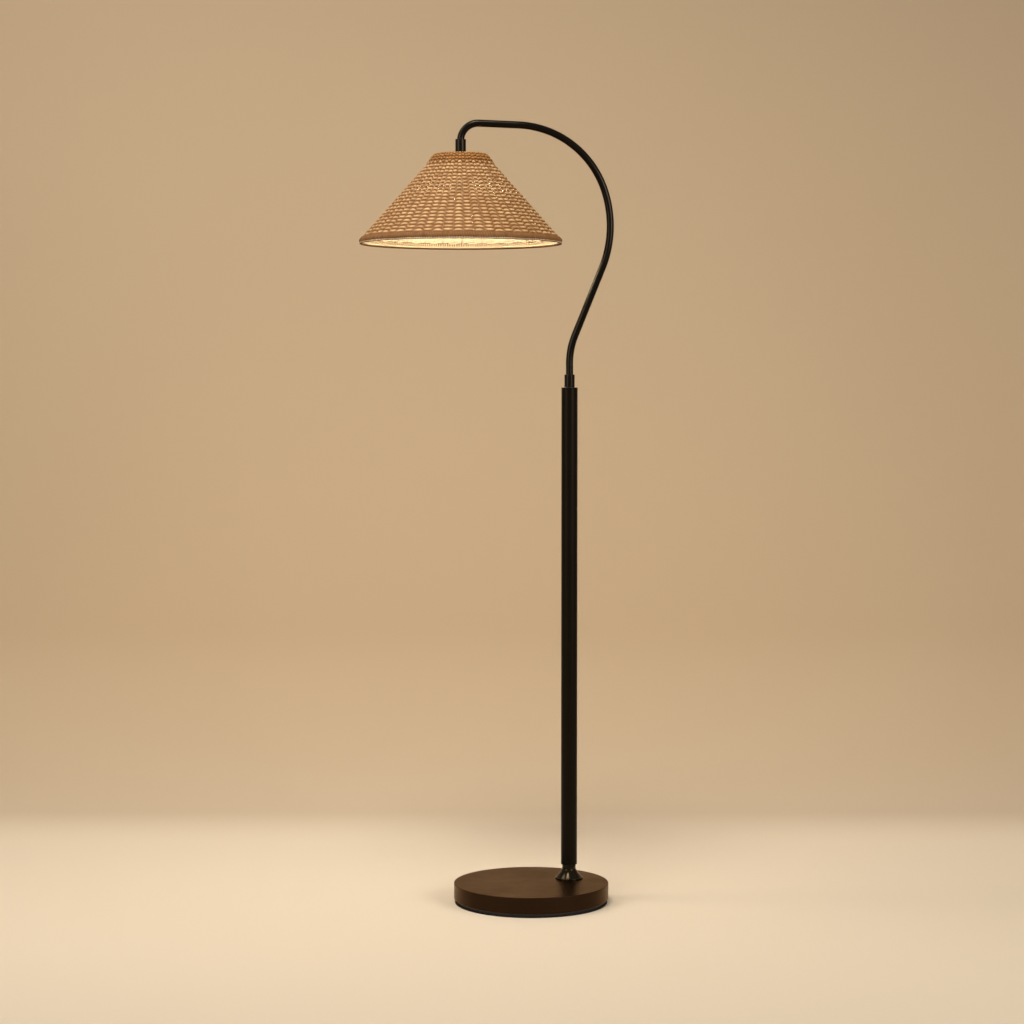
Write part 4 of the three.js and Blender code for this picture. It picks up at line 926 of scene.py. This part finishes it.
class LAMP_OT_weave(bpy.types.Operator):
    """Weave the shade's cone and its flat top"""

    bl_idname = "rattan_lamp.weave"
    bl_label = "Woven wall"

    def execute(self, context):
        weave = context.scene.rattan_lamp.weave
        stakes = weave.stakes
        if stakes % 2:
            raise ValueError("the number of stakes must be even")
        spacing = 2 * np.pi / stakes
        places = stake_places(stakes, rng.normal(0, 0.05 * spacing, stakes))

        most_open, each_way = 92 * MM, 25 * MM  # down the cone

        def openness(along):
            """A bell curve: one where the weave is most open, and zero where it is tight."""
            return np.exp(-(((along - CONE_ZERO - most_open) / each_way) ** 2))

        def width(along):
            """A strand's width, less where the weave is open."""
            return weave.strand_width - 0.95 * MM * openness(along)

        def pairing(along):
            """How far each row moves towards its neighbour between the stakes."""
            return 0.35 * MM * openness(along)

        gap = 0.3 * MM
        start, end = BAND_OUTER + gap, CONE_END - RIM_ON_CONE - gap
        rows = round((end - start) / weave.row_pitch)
        row = np.arange(rows)[:, None]
        along = start + (end - start) * (row + 0.5) / rows
        middle = PROUD + weave.strand_thickness / 2 + weave.wave
        sizes = (width, weave.strand_thickness, weave.wave)
        half = rows // 2
        for name, part in (("shade_rows_upper", slice(0, half)), ("shade_rows_lower", slice(half, rows))):
            strands = woven_rows(row[part], along[part], places, middle, sizes, weave.sway, pairing)
            make(name, [strands], finish("rattan"), "arm", ["shade_skin"], sharp=75)

        # Stakes are pairs of flat strands. They run straight down the wall's middle, from under the band into
        # the rim, and spread as the cone widens.
        along = np.linspace(CONE_FROM + 4 * MM, CONE_END - 1 * MM, 90)[None]
        # Half of a strand's width, as a share of the stakes' spacing
        share = 0.225 - 0.085 * openness(along)
        pair = np.array([-1, 1])[:, None, None]
        angle = (places[0][1 : stakes + 1, None] + pair * share * spacing).reshape(2 * stakes, -1)
        radius, height, turn = wall(along, middle)
        path = round_axis(radius, height, angle)
        first = level(angle)
        second = unit(np.cross(downhill(turn, angle), first))
        wide = share * spacing * radius + 0 * angle
        section = oval(*STRAND)
        points = carried(path, first, second, section, wide, 0.7 * MM + 0 * wide)
        # Painted shade on the stakes' outer side, as they lie under the rows
        pairs = grid(points, hollow=painted_inside(0.3, section))
        make("shade_stakes", [pairs], finish("stake_rattan"), "arm", sharp=75)

        # Flat top: a few thin rows over stakes half as many
        few = stakes // 2
        places = stake_places(few, np.zeros(few))
        angle = places[0][1 : few + 1, None]
        along = np.linspace(13 * MM, BAND_INNER + 4 * MM, 16)[None]
        depth, pitch = 1.4 * MM, 3.1 * MM
        radius, height, _ = wall(along, depth)
        path = round_axis(radius, height, angle)
        flat = 0 * (along + angle)
        first = level(angle + flat)
        second = np.stack([flat, flat, 1 + flat], -1)
        wide, thin = 0.35 * MM + 0.045 * along + flat, 0.45 * MM + flat
        # Painted shade on the top's stakes, as they lie under its rows
        stake_part = grid(carried(path, first, second, oval(6, STRAND[1]), wide, thin), hollow=0.35)
        row = np.arange(6)[:, None]
        sizes = (lambda _: 2.9 * MM, 1.0 * MM, 0.75 * MM)
        rows_part = woven_rows(row, 13.2 * MM + row * pitch, places, depth, sizes)
        make(
            "shade_top_plaited", [stake_part, rows_part], finish("rattan"), "arm", ["shade_top"],
            sharp=75,
        )
        return {"FINISHED"}


def rim_section(inset, count):
    """Points of the rim's outline, evenly spaced and moved in by an inset, and the directions out from it.
    The outline is a rounded box set along the wall: one side on the cone's line, the other on the inside."""
    upper, lower = CONE_END - RIM_ON_CONE, CONE_END + RIM_ROUND
    near, far = PROUD, PROUD + RIM_THICKNESS
    box = [(upper, near, 2 * MM), (lower, near, RIM_ROUND), (lower, far, 0.9 * MM), (upper, far, 2 * MM)]
    box = rounded(box)
    outline = np.stack(wall(box[:, 0], box[:, 1])[:2], -1)
    loop = np.vstack([outline, outline[:1]])
    length = np.concatenate([[0], np.cumsum(np.linalg.norm(np.diff(loop, axis=0), axis=1))])
    even = np.linspace(0, length[-1], count, endpoint=False)
    points = np.stack([np.interp(even, length, loop[:, i]) for i in (0, 1)], -1)
    tangent = unit(np.roll(points, -1, 0) - np.roll(points, 1, 0))
    out = np.stack([-tangent[:, 1], tangent[:, 0]], -1)
    return points - inset * out, out


class LAMP_OT_bindings(bpy.types.Operator):
    """Wrap the rim, and weave on over the top shoulder"""

    bl_idname = "rattan_lamp.bindings"
    bl_label = "Rim and shoulder"

    def execute(self, context):
        weave = context.scene.rattan_lamp.weave
        # One strand wound round the rim, by hand and so a little unevenly: while it goes once round the axis,
        # it goes many times round the rim's section.
        thick, stations = 0.9 * MM, 24
        turns = weave.rim_wraps
        step = np.arange(turns * stations)
        angle = step * 2 * np.pi / len(step)
        wobble = 0.12 * MM * np.sin(13.7 * angle) + 0.1 * MM * np.sin(61.3 * angle + 1)
        # Where on the rim's section each step is, and which way is out there
        place, facing = rim_section(thick + 0.2 * MM, stations)
        place, facing = place[step % stations], facing[step % stations]
        place = place - facing * wobble[:, None]
        path = round_axis(place[:, 0], place[:, 1], angle)
        tangent = unit(np.roll(path, -1, 0) - np.roll(path, 1, 0))
        out = np.stack([facing[:, 0] * np.cos(angle), facing[:, 0] * np.sin(angle), facing[:, 1]], -1)
        first = unit(np.cross(tangent, out))
        second = unit(np.cross(first, tangent))
        section = oval(*STRAND)
        # Half of the strand's width is a little more than half of the way to the next turn, and varies.
        half = 0.52
        width = half * 2 * np.pi * place[:, 0] / turns * (1 + 0.1 * np.sin(0.13 * step))
        points = carried(path, first, second, section, width, thick + 0 * width)
        # The cream paint of the inside thins out round the rim's underside.
        inwards = np.array([-math.cos(STEEP), -math.sin(STEEP)])
        paint = np.clip(facing @ inwards + 0.05, 0, 1)[:, None]
        # Painted shade towards each strand's edges, where one turn meets the next
        edge = np.abs(section[:, 0]) ** 3
        strand = grid(points, along=True, hollow=edge + paint * (0.9 * edge - 1))
        core = turned(rim_section(1.6 * MM, 40)[0], SHADE, sides=192)
        # Painted shade on the core, which shows only between the turns
        core["hollow"] += 1.0  # as dark as a groove, between the turns
        make(
            "rim_binding", [strand, core], finish("rattan_band"), "arm", ["rim_roll"],
            sharp=75,
        )

        # The weave goes on up over the shoulder, in closer rows that come to lie further out. Their sway dies
        # away towards the top. A core closes the wall under them.
        stakes = weave.stakes
        places = stake_places(stakes, np.zeros(stakes))
        rows = round((BAND_OUTER - BAND_INNER) / (0.82 * weave.row_pitch))
        row = np.arange(rows)[:, None]
        pitch = (BAND_OUTER - BAND_INNER) / rows
        line = BAND_INNER + pitch * (row + 0.5)
        thick, lift = 1.7 * MM, 1.1 * MM
        middle = thick / 2 + lift + PROUD * np.clip((line - CONE_FROM) / (BAND_OUTER - CONE_FROM), 0, 1) ** 2
        sizes = (lambda _: 1.05 * pitch, thick, lift)
        sway = weave.sway * np.clip((line - BAND_INNER) / (BAND_OUTER - BAND_INNER), 0.2, 1)
        rows_part = woven_rows(row + rows, line, places, middle, sizes, sway)
        line = np.linspace(BAND_INNER + 0.8 * MM, BAND_OUTER - 0.8 * MM, 24)
        outer = np.stack(wall(line, thick / 2 + 1.3 * lift + PROUD)[:2], -1)
        inner = np.stack(wall(line[::-1], WALL - 0.6 * MM)[:2], -1)
        core = turned(np.vstack([outer, inner]), SHADE)
        # Painted shade on the core, which shows only between the rows
        core["hollow"] += 0.8
        make(
            "shoulder_binding", [rows_part, core], finish("shoulder_rattan"), "arm",
            ["top_band"], sharp=75,
        )
        return {"FINISHED"}


def bar(start, end, radius, sides=12):
    """Round bars between two points each: a circle carried along the straight line from start to end."""
    start, end = np.asarray(start, float), np.asarray(end, float)
    path = np.stack([start, end], -2)
    tangent = unit(end - start)
    helper = np.broadcast_to([0.0, 0.0, 1.0], tangent.shape)
    first = unit(np.cross(tangent, helper))
    second = np.cross(tangent, first)
    first, second = (np.repeat(v[..., None, :], 2, -2) for v in (first, second))
    size = np.full(path.shape[:-1], radius)
    return grid(carried(path, first, second, oval(sides), size, size))


class LAMP_OT_frame(bpy.types.Operator):
    """Make the shade's wire frame and the spider that carries it"""

    bl_idname = "rattan_lamp.frame"
    bl_label = "Wire frame"

    def execute(self, context):
        circle = oval(16)
        ring_radius, rib_radius, rib_count = 1.6 * MM, 1.3 * MM, 8
        top_ring = np.array(wall(FLAT + BEND * SLOPE / 2, WALL + RING_GAP + ring_radius)[:2])
        rim_ring = np.array(wall(CONE_END, PROUD + RIM_THICKNESS + RING_GAP + ring_radius)[:2])
        angle = np.arange(rib_count) * 2 * np.pi / rib_count
        ribs = bar(round_axis(*top_ring, angle), round_axis(*rim_ring, angle), rib_radius)
        parts = [
            turned(rim_ring + ring_radius * circle, SHADE, sides=160),
            turned(top_ring + ring_radius * circle, SHADE),
            ribs,
        ]
        make("shade_frame_wires", parts, finish("frame_wire"), "arm", ["shade_frame"])
        # The spider: a flat ring round the lamp holder, and three arms up to the top ring
        plate, bore, wide, arm_radius = 1.2 * MM, HOLDER_RADIUS + 0.2 * MM, 29.5 * MM, 1.5 * MM
        low = HOLDER_TOP - CAP_HEIGHT - 9 * MM - plate
        high = low + plate
        outline = [
            (bore, low, 0.1 * MM), (wide, low, 0.4 * MM), (wide, high, 0.4 * MM), (bore, high, 0.1 * MM),
        ]
        angle = (np.arange(3) + 0.5) * 2 * np.pi / 3
        foot = np.array([wide - 1 * MM, low + plate / 2])
        line = top_ring - foot
        tip = foot + line * (1 - (ring_radius + RING_GAP) / np.hypot(*line))
        arms = bar(round_axis(*foot, angle), round_axis(*tip, angle), arm_radius)
        make(
            "fitter_spider_welded", [turned(rounded(outline, 4), SHADE), arms], finish("frame_wire"), "arm",
            ["fitter_spider"],
        )
        return {"FINISHED"}


class LAMP_OT_fittings(bpy.types.Operator):
    """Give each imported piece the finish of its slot"""

    bl_idname = "rattan_lamp.fittings"
    bl_label = "Inner fittings"

    def execute(self, context):
        for part in frame["record"]["subparts"]:
            materials = frame["nodes"][part["node"]].data.materials
            materials.clear()
            materials.append(finish(part["material_slot"]))
        return {"FINISHED"}


class LAMP_OT_stage(bpy.types.Operator):
    """Make the floor that sweeps up into a backdrop, the lights and the camera"""

    bl_idname = "rattan_lamp.stage"
    bl_label = "Stage"

    def execute(self, context):
        scene = context.scene
        # Sweep: level, then a quarter circle up to the backdrop, carried along X
        bend, back, front, tall, half = 0.4, 1.0, -9.0, 5.0, 9.0
        a = np.linspace(0, np.pi / 2, 24)
        y = np.concatenate([[front], back + bend * np.sin(a), [back + bend]])
        z = np.concatenate([[0.0], bend * (1 - np.cos(a)), [tall]])
        x = np.array([-half, half])[:, None]
        part = grid(np.stack(np.broadcast_arrays(x, y, z), -1), around=False)
        mesh = bpy.data.meshes.new("floor_sweep")
        mesh.from_pydata(part["points"].tolist(), [], part["faces"][0].tolist())
        mesh.polygons.foreach_set("use_smooth", np.ones(len(mesh.polygons), bool))
        mesh.update()
        if mesh.polygons[0].normal.z < 0:
            mesh.flip_normals()
        floor = bpy.data.objects.new("floor_sweep", mesh)
        scene.collection.objects.link(floor)

        # Seamless paper, pale cream, with shade painted on it: it darkens from the floor up into the
        # backdrop. Its grain is too fine to show, so only a slow drift of tone is drawn. It is see-through
        # from behind, so the lamp can be looked at from the back.
        values = {"Roughness": 0.9, "Specular IOR Level": 0.1}
        material, tree, shader = finish_of("paper_seamless_cream", values)
        place = add(tree, "ShaderNodeTexCoord", output="Object")
        depth = add(tree, "ShaderNodeSeparateXYZ", {"Vector": place}, "Y")
        # Painted shade: the paper turns darker where it sweeps up into the backdrop
        rise = add(
            tree, "ShaderNodeMapRange", {"Value": depth, "From Min": 0.6, "From Max": back + bend},
            interpolation_type="SMOOTHSTEP",
        )
        tones = {SHARE: rise, FIRST: linear("E4D6C0"), SECOND: linear("BCA78B")}
        paper = add(tree, "ShaderNodeMix", tones, MIXED, data_type="RGBA")
        drift = add(tree, "ShaderNodeTexNoise", {"Vector": place, "Scale": 0.5, "Detail": 1.0})
        span = {"From Min": 0.3, "From Max": 0.7, "To Max": 0.06}
        soft = add(tree, "ShaderNodeMapRange", {"Value": drift, **span})
        tones = {SHARE: soft, FIRST: paper, SECOND: linear("A89070")}
        shown = add(tree, "ShaderNodeMix", tones, MIXED, data_type="RGBA")
        tree.links.new(shown, shader.inputs["Base Color"])
        behind = add(tree, "ShaderNodeNewGeometry", output="Backfacing")
        clear = add(tree, "ShaderNodeBsdfTransparent")
        both = add(tree, "ShaderNodeMixShader", {0: behind, 1: shader.outputs[0], 2: clear})
        tree.links.new(both, tree.nodes["Material Output"].inputs["Surface"])
        mesh.materials.append(material)

        world = bpy.data.worlds.new("studio")
        scene.world = world
        world.use_nodes = True
        # Weak even light. Past the paper's edges the camera sees a pale studio wall in its place.
        tree = world.node_tree
        light = [0.36 * value for value in linear("FFFCF8")]
        seen = add(tree, "ShaderNodeLightPath", output="Is Camera Ray")
        tones = {SHARE: seen, FIRST: light, SECOND: linear("DCCFBA")}
        both = add(tree, "ShaderNodeMix", tones, MIXED, data_type="RGBA")
        tree.links.new(both, tree.nodes["Background"].inputs["Color"])

        # Name, place, what it points at, side in metres, power in watts, spread in degrees, colour
        for name, place, aim, size, power, spread, colour in (
            ("key", (-1.75, 0.04, 3.1), (0, 0.04, 0.3), 0.9, 16.0, 180, "FFF6EA"),
            ("left", (-3.2, -2.4, 2.0), (-0.1, 0.8, 0.4), 2.4, 17.0, 90, "FFF6EA"),
            ("right", (3.2, -3.0, 2.2), (-0.3, 0.8, 0.4), 2.4, 29.0, 90, "FFF8EE"),
            ("overhead", (-0.55, -1.3, 3.7), (-0.12, 0.4, 0.1), 0.9, 11.5, 80, "FFF8EE"),
        ):
            lamp = bpy.data.lights.new(name, "AREA")
            lamp.shape, lamp.size, lamp.energy, lamp.color = "SQUARE", size, power, linear(colour)[:3]
            lamp.spread = math.radians(spread)
            light = bpy.data.objects.new(name, lamp)
            scene.collection.objects.link(light)
            away = np.array(place) - np.array(aim)
            light.location = place
            light.rotation_euler = (
                math.atan2(float(np.hypot(away[0], away[1])), float(away[2])),
                0,
                math.atan2(float(away[0]), -float(away[1])),
            )

        # The photograph's view: 4.82 m before the pole, 1.02 m high, tilted up by 3 degrees
        data = bpy.data.cameras.new("camera")
        data.lens, data.sensor_width = 85.81, 36.0
        data.clip_end = 60
        camera = bpy.data.objects.new("camera", data)
        scene.collection.objects.link(camera)
        camera.location = (POLE[0] - 113.5 * MM, POLE[1] - 4.82, 1.0229)
        camera.rotation_euler = (math.radians(90 - 3.002), 0, 0)
        scene.camera = camera
        scene.view_settings.view_transform = "Standard"
        return {"FINISHED"}


STEPS = (
    LAMP_OT_stage, LAMP_OT_fittings, LAMP_OT_base, LAMP_OT_pole, LAMP_OT_arm, LAMP_OT_holder, LAMP_OT_bulb,
    LAMP_OT_frame, LAMP_OT_weave, LAMP_OT_bindings,
)


class LAMP_PT_panel(bpy.types.Panel):
    """Sizes, colours and steps of the lamp"""

    bl_idname = "LAMP_PT_panel"
    bl_label = "Rattan floor lamp"
    bl_space_type = "VIEW_3D"
    bl_region_type = "UI"
    bl_category = "Lamp"

    def draw(self, context):
        settings = context.scene.rattan_lamp
        for group in (settings.metalwork, settings.weave, settings.finish):
            box = self.layout.box()
            for name in group.__annotations__:
                box.prop(group, name)
        for step in STEPS:
            self.layout.operator(step.bl_idname)


CLASSES = (MetalworkSizes, WeaveSizes, FinishColours, LampSettings, *STEPS, LAMP_PT_panel)


def register():
    for cls in CLASSES:
        bpy.utils.register_class(cls)
    bpy.types.Scene.rattan_lamp = bpy.props.PointerProperty(type=LampSettings)


def unregister():
    del bpy.types.Scene.rattan_lamp
    for cls in reversed(CLASSES):
        bpy.utils.unregister_class(cls)


def main():
    register()
    for step in STEPS:
        group, name = step.bl_idname.split(".")
        getattr(getattr(bpy.ops, group), name)()


if __name__ == "__main__":
    main()
